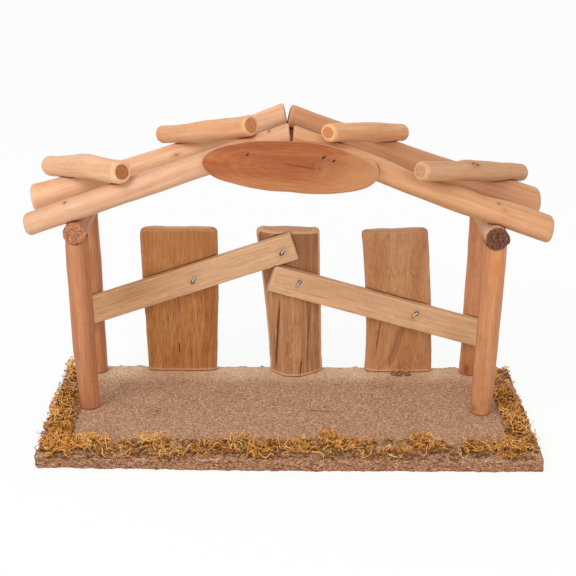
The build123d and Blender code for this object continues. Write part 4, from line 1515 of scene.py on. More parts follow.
@dataclass
class OvalPlaque(Part):
    """The oval slice of a branch that hangs on the gable."""

    BACK_ROWS = 16
    WALL_ROWS = 8
    EDGE_BENDS = 7
    OUTLINE_WAVE, FACE_WAVE = 11 * MM, 3.2 * MM

    seed: int
    face_round: float = 3.0
    back_round: float = 0.8
    undercut: float = 3.4
    outline_wave: float = 0.35
    fullness: tuple[float, float, float, float] = (2.0, 2.06, 2.16, 2.5)
    face_wave: float = 0.14
    around: int = 240
    face_rows: int = 60

    def build(self) -> Piece:
        """Builds the plaque's mesh over its solid.

        Returns:
            The dressed piece.
        """
        solid = Solid(self.node)
        low, high = solid.points.min(0), solid.points.max(0)
        depth = high[1] - low[1]
        section = solid.crossing(np.array([0.0, low[1] + depth * 0.3, 0.0]), np.array([0.0, 1.0, 0.0]))
        flat = section[:, [0, 2]]
        centre = (flat.min(0) + flat.max(0)) / 2
        far = flat[np.argmax(np.linalg.norm(flat - centre, axis=1))] - centre
        tilt = math.atan2(far[1], far[0]) if far[0] > 0 else math.atan2(-far[1], -far[0])
        x, y = (math.cos(tilt), 0.0, math.sin(tilt)), (-math.sin(tilt), 0.0, math.cos(tilt))
        a, b = np.abs((section - np.array([centre[0], 0, centre[1]])) @ beside([x, y])).max(0)
        origin = np.array([centre[0], (low[1] + high[1]) / 2, centre[1]])
        matrix = placed(x, y, FRONT, origin)
        points, masks, rows = self.shape(a, b, depth)
        faces = ring_faces(rows, self.around)
        piece = Draft(points, faces, masks).make(f"{self.node}_wood", matrix)
        welded(piece)
        return self.stand(piece)

    def shape(self, a: float, b: float, depth: float) -> tuple[Array, dict[str, Array], int]:
        """Lays rings of points from the middle of the back round the rim to the middle of the face.

        Args:
            a: Half the oval's length.
            b: Half the oval's height.
            depth: Thickness of the plaque.

        Returns:
            The points, the masks and the number of rings.
        """
        rings: list[tuple[float, float, float, float, float, float]] = []
        quarter_turn = np.linspace(0, math.pi / 2, self.EDGE_BENDS)
        for share in np.linspace(0, 1, self.BACK_ROWS)[:-1]:
            rings.append((share, 1.0, 0.0, 0.0, 0.0, 0.0))
        for bend in quarter_turn:
            rings.append((1.0, 1 - math.sin(bend), 1 - math.cos(bend), 0.0, 0.0, 0.0))
        for level in np.linspace(0, 1, self.WALL_ROWS)[1:-1]:
            rings.append((1.0, 0.0, 1.0, 1.0, level, 0.0))
        for bend in quarter_turn[::-1]:
            rings.append((1.0, 1 - math.sin(bend), 1 - math.cos(bend), 0.0, 1.0, 1 - bend / 1.6))
        for share in np.linspace(1, 0, self.face_rows)[1:]:
            rings.append((share, 1.0, 0.0, 0.0, 1.0, 1.0))
        table = np.repeat(np.array(rings), self.around, axis=0)
        turn = np.tile(np.linspace(0, 2 * math.pi, self.around, endpoint=False), len(rings))
        share, inward, rise, wall, level, face = table.T
        rise = np.maximum(rise, wall)
        upper = np.clip(np.sin(turn), 0, 1) * np.clip((0.8 - np.cos(turn)) / 0.8, 0, 1)
        soft = np.clip(0.45 + 0.55 * np.cos(turn) - 0.5 * np.sin(turn), 0.22, 1)
        face_round, back_round = self.face_round * MM * soft, self.back_round * MM
        height = (rise * back_round - depth / 2) * (1 - level) + (depth / 2 - rise * face_round) * level
        inset = inward * (back_round * (1 - level) + face_round * level)
        inset = inset + self.undercut * MM * upper * np.clip(0.5 - height / depth, 0, 1)
        quarter = (turn // (math.pi / 2)).astype(int)
        power = 2 / np.array(self.fullness)[quarter][:, None]
        way = beside([np.cos(turn), np.sin(turn)])
        rim = np.sign(way) * np.abs(way) ** power * (a, b)
        out = np.sign(way) * np.abs(way) ** (2 - power) / (a, b)
        out = unit(out)
        field_ = SoftField(self.seed)
        wave = self.outline_wave * MM * field_.at(beside([rim, height * 0.4]), self.OUTLINE_WAVE)
        flat = (rim + out * (wave - inset)[:, None]) * share[:, None]
        relief = field_.at(beside([flat * (0.35, 1.0), height + 1.0]), self.FACE_WAVE)
        height = height + np.where(face > 0, self.face_wave * MM * relief * (share < 1), 0.0)
        return beside([flat, height]), {"cut": face, "rim": 1.0 - face}, len(rings)


@dataclass
class BaseBoard(Part):
    """The pressed fibre board that all else stands on, with torn walls and a frayed back edge."""

    INWARD = (1.0, 0.75, 0.5, 0.25, 0.1, 0.04, 0.016)
    WALL_ROWS = 13
    CORNER_STEPS = 5
    FRAY, FRAY_WAVE = 1.5 * MM, 4 * MM
    TEAR, FINE_TEAR, RAG = 1.3 * MM, 0.7 * MM, 5.0 * MM
    SAG, SAG_WAVE = 0.12 * MM, 9 * MM
    LIP, SINK = -0.35 * MM, 0.2 * MM

    seed: int
    step: float = 0.85
    corner: float = 1.6
    torn: float = 0.5
    frayed: float = 0.75
    front_bulge: float = 2.2

    def build(self) -> Piece:
        """Builds the board: torn wall rows with a flat top and underside shrunk to its middle line.

        Returns:
            The dressed piece.
        """
        low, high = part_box(self.node)
        half_x, half_y, thick = (high.x - low.x) / 2, (high.y - low.y) / 2, high.z - low.z
        bend = self.corner * MM
        columns, rows = (int(2 * (half - bend) / (self.step * MM)) for half in (half_x, half_y))
        walk_round = SlabOutline(columns, rows, self.CORNER_STEPS)
        outs = walk_round.out
        outline = walk_round.inner * (half_x - bend, half_y - bend) + outs * bend
        bulge = np.clip((outline[:, 0] / half_x + 0.9) / 0.7, 0, 1) * (outs[:, 1] < -0.5)
        outline[:, 1] -= self.front_bulge * MM * bulge
        around = len(outline)
        spine = beside([np.clip(outline[:, 0], half_y - half_x, half_x - half_y), 0 * outline[:, 1]])
        walls = np.linspace(0, thick, self.WALL_ROWS)
        levels = [(share, 0.0, 0.0) for share in self.INWARD]
        levels += [(0.0, height, 1.0) for height in walls]
        levels += [(share, thick, 0.0) for share in self.INWARD[::-1]]
        field_ = SoftField(self.seed)
        walk = np.cumsum(np.linalg.norm(np.diff(outline, axis=0, prepend=outline[:1]), axis=1))
        rear = np.clip((outs[:, 1] - 0.5) / 0.3, 0, 1)
        fray = field_.at(beside([walk, 0 * walk + 0.9, 0 * walk]), self.FRAY)
        slow = field_.at(beside([walk, 0 * walk, walk]), self.FRAY_WAVE)
        fray = self.frayed * MM * rear * (fray + 0.6 * slow)
        rows, rims = [], []
        for share, height, wall in levels:
            spots = beside([walk * 0.3, 0 * walk, 0 * walk + height])
            rough = field_.at(spots, self.TEAR)
            rough = rough + 0.6 * field_.at(spots * (2.2, 1, 1) + 0.7, self.FINE_TEAR)
            ragged = field_.at(beside([walk, 0 * walk + 0.5, 0 * walk]), self.RAG)
            lip = self.LIP if wall and height in (walls[0], walls[-1]) else 0.0
            push = wall * (self.torn * MM * (rough * 0.7 + ragged * 0.5) + lip)
            flat = (outline + outs * push[:, None]) * (1 - share) + spine * share
            sag = self.SAG * field_.at(beside([flat, 0 * walk]), self.SAG_WAVE) if height > 0 else 0 * walk
            sink = self.SINK * (wall > 0) * (height == walls[-1])
            burr = fray * (wall > 0) * (height == walls[-1])
            rows.append(beside([flat, height + sag * (wall == 0) - sink + burr]))
            rims.append(np.full(around, 1.0 if wall else max(0.0, 1 - share / self.INWARD[-1]) * 0.5))
        points = np.vstack(rows) + np.array([(low.x + high.x) / 2, (low.y + high.y) / 2, low.z])
        masks = {"rim": np.concatenate(rims)}
        piece = Draft(points, ring_faces(len(levels), around), masks).make(f"{self.node}_fibre")
        welded(piece)
        return self.stand(piece)


class Tangle:
    """Thin tapering strands grown step by step, as one mesh with a bake cell for each strand."""

    def __init__(self, seed: int, sides: int = 4) -> None:
        """Starts an empty tangle."""
        self.dice = np.random.default_rng(seed)
        self.sides = sides
        self.paths: list[Array] = []
        self.girths: list[Array] = []
        self.tones: list[Array] = []

    def grow(
        self, roots: Array, ways: Array, steps: int, stride: Array, curl: float, low: Array, high: Array
    ) -> Array:
        """Grows strands that curl on and turn back where they leave their room.

        Args:
            roots: Where each strand starts.
            ways: Its first direction.
            steps: Number of steps.
            stride: Length of a step for each strand.
            curl: Turn at each step in radians.
            low: Lowest corner of each strand's room.
            high: Highest corner of each strand's room.

        Returns:
            The paths, one row of points for each strand.
        """
        count = len(roots)
        axis = self.dice.normal(size=(count, 3))
        axis = unit(axis)
        turn = curl * self.dice.uniform(0.4, 1.5, count)
        here, way = roots.copy(), unit(ways)
        path = [here.copy()]
        for _ in range(steps):
            angle = (turn + self.dice.normal(0, 0.25 * curl, count))[:, None]
            lift = np.cross(axis, way)
            held = axis * (axis * way).sum(1)[:, None] * (1 - np.cos(angle))
            way = way * np.cos(angle) + lift * np.sin(angle) + held
            way += self.dice.normal(0, 0.3 * curl, (count, 3))
            axis += self.dice.normal(0, 0.4, (count, 3))
            axis = unit(axis)
            way += 0.9 * (here < low) - 0.9 * (here > high)
            way = unit(way)
            here = here + way * stride[:, None]
            here[:, 2] = np.maximum(here[:, 2], low[:, 2])
            path.append(here.copy())
        return np.stack(path, axis=1)

    def add(self, paths: Array, girth: Array, taper: float, tones: Array) -> None:
        """Adds strands with a girth at their roots and the share of it that is left at their tips."""
        shares = np.linspace(0, 1, paths.shape[1])
        self.paths.append(paths)
        self.girths.append(girth[:, None] * (1 - (1 - taper) * shares**1.3))
        self.tones.append(tones)

    def draft(self, floor: float, height: float) -> Draft:
        """Skins all strands.

        Args:
            floor: Level that the strands rise from.
            height: Rise at which a strand counts as out in the light.

        Returns:
            The mesh with masks for each strand's tone and each point's rise.
        """
        total = sum(len(paths) for paths in self.paths)
        cells = math.ceil(math.sqrt(total))
        points, faces, corners, tones = [], [], [], []
        base, number = 0, 0
        for paths, girths, tone in zip(self.paths, self.girths, self.tones):
            count, rings = paths.shape[:2]
            skin = self.skin(paths, girths)
            points.append(skin.reshape(-1, 3))
            tones.append(np.repeat(tone, rings * self.sides))
            strand = np.arange(count)[:, None, None] * rings * self.sides
            ring = np.arange(rings - 1)[None, :, None] * self.sides
            side = np.arange(self.sides)[None, None, :]
            after = (side + 1) % self.sides
            quad = np.stack(np.broadcast_arrays(
                strand + ring + side, strand + ring + after,
                strand + ring + self.sides + after, strand + ring + self.sides + side,
            ), axis=-1)
            faces += (quad.reshape(-1, 4) + base).tolist()
            home = number + np.arange(count)
            origin = np.stack([home % cells, home // cells], axis=-1) / cells
            u = (np.arange(self.sides + 1) + 0.1) / (self.sides + 0.2) / cells
            v = (np.arange(rings) + 0.1) / (rings - 0.8) / cells
            corner = np.zeros((count, rings - 1, self.sides, 4, 2))
            for k, (du, dv) in enumerate(((0, 0), (1, 0), (1, 1), (0, 1))):
                corner[..., k, 0] = origin[:, None, None, 0] + u[None, None, du:du + self.sides]
                corner[..., k, 1] = origin[:, None, None, 1] + v[None, dv:dv + rings - 1, None]
            corners.append(corner.reshape(-1, 2))
            base += count * rings * self.sides
            number += count
        placed = np.vstack(points)
        rise = np.clip((placed[:, 2] - floor) / height, 0, 1)
        masks = {"tone": np.concatenate(tones), "rise": rise}
        return Draft(placed, faces, masks, np.vstack(corners))

    def skin(self, paths: Array, girths: Array) -> Array:
        """Puts a ring of points round each point of each path, turned as little as can be."""
        count, rings = paths.shape[:2]
        ways = np.gradient(paths, axis=1)
        ways = unit(ways)
        first = np.cross(ways[:, 0], self.dice.normal(size=(count, 3)))
        skin = np.zeros((count, rings, self.sides, 3))
        for ring in range(rings):
            way = ways[:, ring]
            first = first - way * (first * way).sum(1)[:, None]
            first = unit(first)
            second = np.cross(way, first)
            for side in range(self.sides):
                turn = 2 * math.pi * side / self.sides
                around = first * math.cos(turn) + second * math.sin(turn)
                skin[:, ring, side] = paths[:, ring] + around * girths[:, ring, None]
        return skin


@dataclass(frozen=True)
class Tuft:
    """A clump of moss, in millimetres."""

    spot: tuple[float, float]
    radius: float
    height: float
    thick: float = 1.0


@dataclass
class MossBand(Part):
    """Dried moss glued along one edge of the base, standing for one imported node."""

    LIGHT_HEIGHT = 5.0 * MM
    MAT_STEPS = 8
    LONG_STEPS = 15
    TUFT_STEPS = 12
    TWIG_STEPS = 4
    TWIG_CURL = 0.45

    seed: int
    clumps: int
    mat: int
    fill: float = 0.72
    twigs: float = 1.8
    girth: float = 0.32
    curl: float = 0.35
    clump_radius: tuple[float, float] = (2.6, 7.0)
    clump_height: tuple[float, float] = (2.0, 6.0)
    long: int = 0
    over: tuple[float, float, float, float] = (1.0, 1.0, 1.0, 1.0)
    tufts: tuple[Tuft, ...] = ()

    def build(self) -> Piece:
        """Grows the moss over its solid: a thin mat of lying strands and curly clumps standing in it.

        Returns:
            The dressed piece.
        """
        low, high = (np.array(corner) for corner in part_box(self.node))
        west, east, south, north = (value * MM for value in self.over)
        low, high = low - (west, south, 0), high + (east, north, 0)
        tangle = Tangle(self.seed)
        self.add_mat(tangle, low, high)
        for tuft in (*self.scattered(tangle.dice, low, high), *self.tufts):
            self.add_tuft(tangle, tuft, low, high)
        self.add_long(tangle, low, high)
        piece = tangle.draft(low[2], self.LIGHT_HEIGHT).make(f"{self.node}_strands")
        return self.stand(piece)

    def scattered(self, dice: np.random.Generator, low: Array, high: Array) -> list[Tuft]:
        """Scatters clumps along the band.

        Args:
            dice: Source of chance.
            low: Lowest corner of the band.
            high: Highest corner of the band.

        Returns:
            The clumps.
        """
        longest = int(np.argmax((high - low)[:2]))
        made = []
        for number in range(self.clumps):
            radius = dice.uniform(*self.clump_radius)
            spot = np.zeros(2)
            share = (number + dice.uniform(0.1, 0.9)) / self.clumps
            spot[longest] = low[longest] + share * (high - low)[longest]
            room = min(0.45, radius * 0.7 * MM / (high - low)[1 - longest])
            spot[1 - longest] = low[1 - longest] + dice.uniform(room, 1 - room) * (high - low)[1 - longest]
            made.append(Tuft((spot[0] / MM, spot[1] / MM), radius, dice.uniform(*self.clump_height)))
        return made

    def add_mat(self, tangle: Tangle, low: Array, high: Array) -> None:
        """Lays thin strands flat over the band."""
        dice = tangle.dice
        roots = dice.uniform(low, high, (self.mat, 3))
        patch = SoftField(self.seed).at(roots * (1, 1, 0), 7 * MM)
        roots = roots[patch > -0.25]
        count = len(roots)
        roots[:, 2] = low[2] + dice.uniform(0.2, 1.2, count) * MM
        ways = dice.normal(size=(count, 3)) * (1, 1, 0.15)
        ceiling = beside([np.tile(high[:2], (count, 1)), np.full(count, low[2] + 1.8 * MM)])
        ground = np.tile(low + (0, 0, 0.15 * MM), (count, 1))
        stride = dice.uniform(0.6, 1.0, count) * MM
        paths = tangle.grow(roots, ways, self.MAT_STEPS, stride, self.curl, ground, ceiling)
        tones = np.clip(dice.normal(0.12, 0.18, count), 0, 1)
        tangle.add(paths, self.girth * MM * dice.uniform(0.55, 0.9, count), 0.5, tones)

    def add_long(self, tangle: Tangle, low: Array, high: Array) -> None:
        """Lays long loose strands over the clumps."""
        dice = tangle.dice
        count = self.long
        roots = dice.uniform(low, high, (count, 3))
        roots[:, 2] = low[2] + dice.uniform(1.0, 4.0, count) * MM
        ways = dice.normal(size=(count, 3)) * (1, 1, 0.3)
        ceiling = np.tile(high, (count, 1))
        ceiling[:, 2] = low[2] + dice.uniform(3.0, 6.0, count) * MM
        ground = np.tile(low + (0, 0, 0.8 * MM), (count, 1))
        stride = dice.uniform(0.8, 1.2, count) * MM
        paths = tangle.grow(roots, ways, self.LONG_STEPS, stride, self.curl * 0.7, ground, ceiling)
        tones = np.clip(dice.normal(0.55, 0.2, count), 0, 1)
        tangle.add(paths, self.girth * MM * dice.uniform(0.6, 0.95, count), 0.5, tones)

    def add_tuft(self, tangle: Tangle, tuft: Tuft, low: Array, high: Array) -> None:
        """Grows one clump of curling strands with side twigs."""
        dice = tangle.dice
        count = max(int(self.fill * tuft.thick * tuft.radius**2), 6)
        around = dice.uniform(0, 2 * math.pi, count)
        away = tuft.radius * MM * 0.9 * np.sqrt(dice.uniform(0, 1, count))
        roots = beside([
            tuft.spot[0] * MM + away * np.cos(around),
            tuft.spot[1] * MM + away * np.sin(around),
            low[2] + dice.uniform(0.05, 0.6, count) * tuft.height * MM,
        ])
        ways = beside([np.cos(around), np.sin(around), dice.uniform(-0.3, 1.0, count)])
        reach = np.array([tuft.radius, tuft.radius, 0]) * 1.3 * MM
        centre = np.array([tuft.spot[0] * MM, tuft.spot[1] * MM, 0])
        ground = np.maximum(centre - reach, low)
        ground[2] = low[2] + 0.15 * MM
        ceiling = np.minimum(centre + reach, high)
        ceiling[2] = low[2]
        tops = np.tile(ceiling, (count, 1))
        tops[:, 2] += tuft.height * MM * (1 - 0.6 * (away / (tuft.radius * MM)) ** 2)
        floors = np.tile(ground, (count, 1))
        stride = dice.uniform(0.65, 1.1, count) * MM
        roots = np.clip(roots, floors, tops)
        paths = tangle.grow(roots, ways, self.TUFT_STEPS, stride, self.curl, floors, tops)
        tones = np.clip(dice.normal(0.46, 0.28, count) + dice.normal(0, 0.16), 0, 1)
        tangle.add(paths, self.girth * MM * dice.uniform(0.75, 1.2, count), 0.45, tones)
        self.add_twigs(tangle, paths, tones, floors, tops)

    def add_twigs(self, tangle: Tangle, paths: Array, tones: Array, low: Array, high: Array) -> None:
        """Grows short side twigs from the strands."""
        dice = tangle.dice
        count = int(len(paths) * self.twigs)
        owner = dice.integers(0, len(paths), count)
        place = dice.integers(2, paths.shape[1] - 1, count)
        roots = paths[owner, place]
        ways = (paths[owner, place + 1] - roots) / MM + dice.normal(0, 0.9, (count, 3))
        stride = dice.uniform(0.4, 0.7, count) * MM
        twigs = tangle.grow(roots, ways, self.TWIG_STEPS, stride, self.TWIG_CURL, low[owner], high[owner])
        shade = np.clip(tones[owner] + dice.normal(0.05, 0.12, count), 0, 1)
        tangle.add(twigs, self.girth * MM * dice.uniform(0.5, 0.8, count), 0.35, shade)


@dataclass
class Staples(Part):
    """Bent wire staples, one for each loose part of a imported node."""

    SEED = 3
    SIDES = 8
    BENDS = 5
    CROWN_ROWS = 7

    out: Spot
    wire: float = 0.55
    bend: float = 0.8
    leg: float = 3.0
    proud: float = 0.35
    bow: float = -0.12
    lower: float = 0.0
    turns: tuple[float, ...] = ()
    sunk: tuple[float, ...] = ()

    def build(self) -> Piece:
        """Bends a round wire over the crown of each staple.

        Returns:
            The dressed piece.
        """
        tangle = Tangle(self.SEED, sides=self.SIDES)
        seats = self.seats()
        for centre, crown, out, half in seats:
            path = self.path(centre, crown, out, half)[None]
            tangle.add(path, np.array([self.wire * MM]), 1.0, np.zeros(1))
        draft = tangle.draft(0.0, 1.0)
        paths = np.concatenate(tangle.paths)
        # Painted shade mask: the wire's flanks that turn from the way out toward the wood
        away = draft.points.reshape(*paths.shape[:2], tangle.sides, 3) - paths[:, :, None]
        crest = np.einsum("srkc,sc->srk", away, np.array([out for _, _, out, _ in seats])) / (self.wire * MM)
        draft.masks["flank"] = np.clip((0.75 - crest) / 0.5, 0, 1).ravel()
        piece = draft.make(f"{self.node}_wire")
        return self.stand(piece)

    def seats(self) -> list[tuple[Array, Array, Array, float]]:
        """Reads each staple: middle and direction of its crown, the way out and half the crown."""
        found = []
        parts = [np.unique(np.round(part, 6), axis=0) for part in Solid(self.node).loose_parts()]
        parts.sort(key=lambda part: float(part[:, 0].mean()))
        for part, turn, sunk in itertools.zip_longest(parts, self.turns, self.sunk, fillvalue=0.0):
            middle = part.mean(0)
            axes = np.linalg.svd(part - middle)[2]
            out = axes[0] * np.sign(axes[0] @ np.array(self.out))
            run = (part - middle) @ axes[1]
            top = ((part - middle) @ out).max() + (self.proud - sunk - self.wire) * MM
            centre = middle + out * top + axes[1] * (run.min() + run.max()) / 2
            centre[2] -= self.lower * MM
            crown = np.array(Matrix.Rotation(math.radians(turn), 3, Vector(out)) @ Vector(axes[1]))
            found.append((centre, crown, out, (run.max() - run.min()) / 2 - self.wire * MM))
        return found

    def shaded_dents(self, sides: Sequence[float], radius: float, kind: MarkKind) -> tuple[Mark, ...]:
        """Gives a mark for each dent the staples press into the wood: crushed wood, darkened with painted
        shade under the wire.

        Args:
            sides: Where along the crown they lie, from -1 to 1.
            radius: Size of a dent in millimetres.
            kind: How dark they are.

        Returns:
            The dents of all staples.
        """
        marks = []
        for centre, crown, _, half in self.seats():
            for side in sides:
                spot = (centre + crown * side * half) / MM
                marks.append(Mark((spot[0], spot[1], spot[2]), radius, kind, 1.0, 0.9))
        return tuple(marks)

    def path(self, centre: Array, crown: Array, out: Array, half: float) -> Array:
        """Gives the wire's middle line: up one leg, round a bend, over the crown and down the other leg."""
        bend = self.bend * MM
        spots = [(-half, -self.leg * MM), (-half, -bend)]
        for turn in np.linspace(0, math.pi / 2, self.BENDS)[1:]:
            spots.append((-half + bend * (1 - math.cos(turn)), -bend + bend * math.sin(turn)))
        for share in np.linspace(-1, 1, self.CROWN_ROWS)[1:-1]:
            spots.append((share * (half - bend), self.bow * MM * (1 - share**2)))
        spots += [(-x, z) for x, z in spots[self.BENDS::-1]]
        return np.array([centre + crown * x + out * z for x, z in spots])


@dataclass
class BradHeads(Part):
    """Heads of thin brads driven into the round of the sticks."""

    ROWS = 6
    AROUND = 20
    CLEAR, SKIRT = 4 * MM, -0.5 * MM

    radius: float = 0.7
    rise: float = 0.12
    sink: float = 0.06

    def build(self, wood: BVHTree) -> Piece:
        """Sets a domed head on the wood over each packed brad.

        Args:
            wood: Surface of the sticks as they were built.

        Returns:
            The dressed piece.
        """
        points, faces = [], []
        for part in Solid(self.node).loose_parts():
            unique = np.unique(np.round(part, 6), axis=0)
            middle = unique.mean(0)
            axis = np.linalg.svd(unique - middle)[2][0]
            axis = axis * np.sign(axis[2])
            top = Vector(middle + axis * ((unique - middle) @ axis).max())
            way = Vector(axis)
            hit = wood.ray_cast(top + way * self.CLEAR, -way)
            seat = hit[0] if hit[0] is not None else top
            side = way.orthogonal().normalized()
            other = way.cross(side)
            base = len(points)
            for ring in range(self.ROWS):
                share = 1 - ring / (self.ROWS - 1) * 0.999
                level = (self.rise * (1 - share**2) - self.sink) * MM if ring else self.SKIRT
                for k in range(self.AROUND):
                    turn = 2 * math.pi * k / self.AROUND
                    spot = side * math.cos(turn) + other * math.sin(turn)
                    points.append(seat + spot * self.radius * MM * share + way * level)
            faces += [tuple(base + k for k in face) for face in ring_faces(self.ROWS, self.AROUND)]
        piece = Draft(np.array([tuple(p) for p in points]), faces).make(f"{self.node}_heads")
        return self.stand(piece)


def surface_of(pieces: Sequence[Piece]) -> BVHTree:
    """Gives the joined surface of some pieces for casting rays onto it."""
    points: list[Vector] = []
    faces: list[tuple[int, ...]] = []
    for piece in pieces:
        base = len(points)
        points += [piece.matrix_world @ vertex.co for vertex in piece.data.vertices]
        faces += [tuple(base + k for k in face.vertices) for face in piece.data.polygons]
    return BVHTree.FromPolygons(points, faces)


def mark_shaded_seams(pieces: Sequence[Piece], others: Sequence[Piece], reach: float) -> None:
    """Marks on each piece how close its points lie to other pieces, for the painted shade between the parts.

    Args:
        pieces: The pieces that are marked.
        others: The pieces that count as neighbours.
        reach: Distance in millimetres at which the mark fades out.
    """
    room = reach * MM
    places, trees = {}, {}
    for piece in {*pieces, *others}:
        trees[piece.name] = surface_of([piece])
        places[piece.name] = np.array([piece.matrix_world @ vertex.co for vertex in piece.data.vertices])
    boxes = {name: (spots.min(0) - room, spots.max(0) + room) for name, spots in places.items()}
    for piece in pieces:
        spots = places[piece.name]
        seam = np.zeros(len(spots))
        for other in {other.name for other in others} - {piece.name}:
            low, high = boxes[other]
            for index in np.flatnonzero(((spots > low) & (spots < high)).all(1)):
                found, normal, _, distance = trees[other].find_nearest(Vector(spots[index]), room)
                if found is not None:
                    inside = (Vector(spots[index]) - found).dot(normal) < 0
                    seam[index] = max(seam[index], 1.0 if inside else 1.0 - distance / room)
        layer = piece.data.attributes.new("seam", "FLOAT", "POINT")
        layer.data.foreach_set("value", seam.astype(np.float32))


# The studio


@dataclass
class Lamp:
    """A large soft lamp aimed at the middle of the object."""

    name: str
    spot: Spot
    size: float
    power: float

    def hang(self, target: Vector) -> None:
        """Hangs the lamp and turns it to its target."""
        light = bpy.data.lights.new(self.name, "AREA")
        light.shape = "DISK"
        light.size = self.size
        light.energy = self.power
        lamp = bpy.data.objects.new(self.name, light)
        bpy.context.scene.collection.objects.link(lamp)
        lamp.location = Vector(self.spot)
        lamp.rotation_euler = (target - lamp.location).to_track_quat("-Z", "Y").to_euler()


@dataclass
class Studio:
    """Pale floor, white surroundings, soft lamps and the camera that took the photograph."""

    ambient: float = 0.74
    floor_half: float = 4.0
    floor_shade: float = 0.88
    floor_glow: float = 0.88
    lamps: tuple[Lamp, ...] = (
        Lamp("key_lamp", (-0.85, -0.8, 1.2), 0.8, 10.0),
        Lamp("front_lamp", (0.35, -1.6, 0.75), 1.2, 8.0),
    )
    sensor: float = 36.0
    lens: float = 73.457
    nearest: float = 0.01
    pitch: float = 22.405
    yaw: float = -0.7233
    roll: float = 0.643
    eye: Spot = (-9.889, -662.354, 363.881)

    def build(self) -> None:
        """Sets up the whole studio."""
        low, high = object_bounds()
        target = (Vector(low) + Vector(high)) / 2
        self.lay_floor()
        self.light_world()
        for lamp in self.lamps:
            lamp.hang(target)
        self.place_camera()
        bpy.context.scene.view_settings.view_transform = "Standard"

    def lay_floor(self) -> None:
        """Lays a pale floor that the camera sees nearly white but for the object's shadow."""
        half = self.floor_half
        mesh = bpy.data.meshes.new("floor")
        corners = [(-half, -half, 0), (half, -half, 0), (half, half, 0), (-half, half, 0)]
        mesh.from_pydata(corners, [], [(0, 1, 2, 3)])
        floor = bpy.data.objects.new("floor", mesh)
        bpy.context.scene.collection.objects.link(floor)
        floor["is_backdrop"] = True
        material = bpy.data.materials.new("floor_paper")
        material.use_nodes = True
        mesh.materials.append(material)
        net = Wiring(material.node_tree)
        shader = material.node_tree.nodes["Principled BSDF"]
        paper = net.noise(net.place(), 40.0, 2.0)
        shade = net.math("MULTIPLY_ADD", paper, 0.02, self.floor_shade)
        net.feed(shader.inputs["Base Color"], net.joined(shade, shade, shade))
        shader.inputs["Roughness"].default_value = 0.9
        shader.inputs["Specular IOR Level"].default_value = 0.0
        glow = net.add("ShaderNodeEmission", {"Color": (1, 1, 1, 1), "Strength": 1.0})
        seen = net.times(self.seen(net), self.floor_glow)
        both = net.add("ShaderNodeMixShader", {0: seen, 1: shader.outputs[0], 2: glow.outputs[0]})
        net.feed(material.node_tree.nodes["Material Output"].inputs["Surface"], both.outputs[0])

    def light_world(self) -> None:
        """Makes the surroundings white to the eye and a soft even light to the object."""
        world = bpy.data.worlds.new("studio")
        world.use_nodes = True
        bpy.context.scene.world = world
        net = Wiring(world.node_tree)
        back = world.node_tree.nodes["Background"]
        back.inputs["Color"].default_value = (1, 1, 1, 1)
        more = net.times(self.seen(net), 1.0 - self.ambient)
        net.feed(back.inputs["Strength"], net.plus(more, self.ambient))

    def seen(self, net: Wiring) -> Socket:
        """Gives 1 for rays of the camera, of mirrors and of glass."""
        path = net.add("ShaderNodeLightPath").outputs
        rays = net.math("MAXIMUM", path["Is Camera Ray"], path["Is Glossy Ray"])
        return net.math("MAXIMUM", rays, path["Is Transmission Ray"])

    def place_camera(self) -> None:
        """Places the camera as it was worked out from the photograph."""
        pitch, yaw, roll = (math.radians(angle) for angle in (self.pitch, self.yaw, self.roll))
        ahead = Vector((-math.sin(yaw) * math.cos(pitch), math.cos(yaw) * math.cos(pitch), -math.sin(pitch)))
        right = Vector((math.cos(yaw), math.sin(yaw), 0.0))
        up = right.cross(ahead)
        x = right * math.cos(roll) + up * math.sin(roll)
        y = up * math.cos(roll) - right * math.sin(roll)
        data = bpy.data.cameras.new("photo_camera")
        data.sensor_width = self.sensor
        data.lens = self.lens
        data.clip_start = self.nearest
        camera = bpy.data.objects.new("photo_camera", data)
        bpy.context.scene.collection.objects.link(camera)
        axes = Matrix((x, y, -ahead)).transposed().to_4x4()
        camera.matrix_world = Matrix.Translation(metres(self.eye)) @ axes
        bpy.context.scene.camera = camera


# The stable itself

SEAM_SHADE_REACH = 1.6
RAIL_TURNS = (-16.0, -17.0, 10.0, 4.0)
RIDGE_SUNK = (0.0, 0.0, 1.6, 1.6)
RAIL_SHADED_DENTS = (-0.85, -0.4, 0.0, 0.4, 0.85)
PLAQUE_SHADED_DENTS = (-0.3, 0.3)
ROOF_TONES = {"streak": tint(186, 124, 82), "end_pale": tint(206, 150, 110), "end_dark": tint(168, 104, 66)}
POST_TONES = {
    "streak": tint(134, 78, 48), "end_pale": tint(196, 138, 100), "end_dark": tint(150, 90, 60),
    "streaks": 0.24,
}


def roof_wood(seed: float, pale: Colour, warm: Colour, **other: object) -> PeeledWood:
    """Gives the finish of a rafter or roof stick from its two tones."""
    return PeeledWood("roof_wood", pale, warm, seed=seed, **{**ROOF_TONES, **other})


def post_wood(seed: float, pale: Colour, warm: Colour, **other: object) -> PeeledWood:
    """Gives the finish of a post or log from its two tones."""
    return PeeledWood("post_wood", pale, warm, seed=seed, **{**POST_TONES, **other})


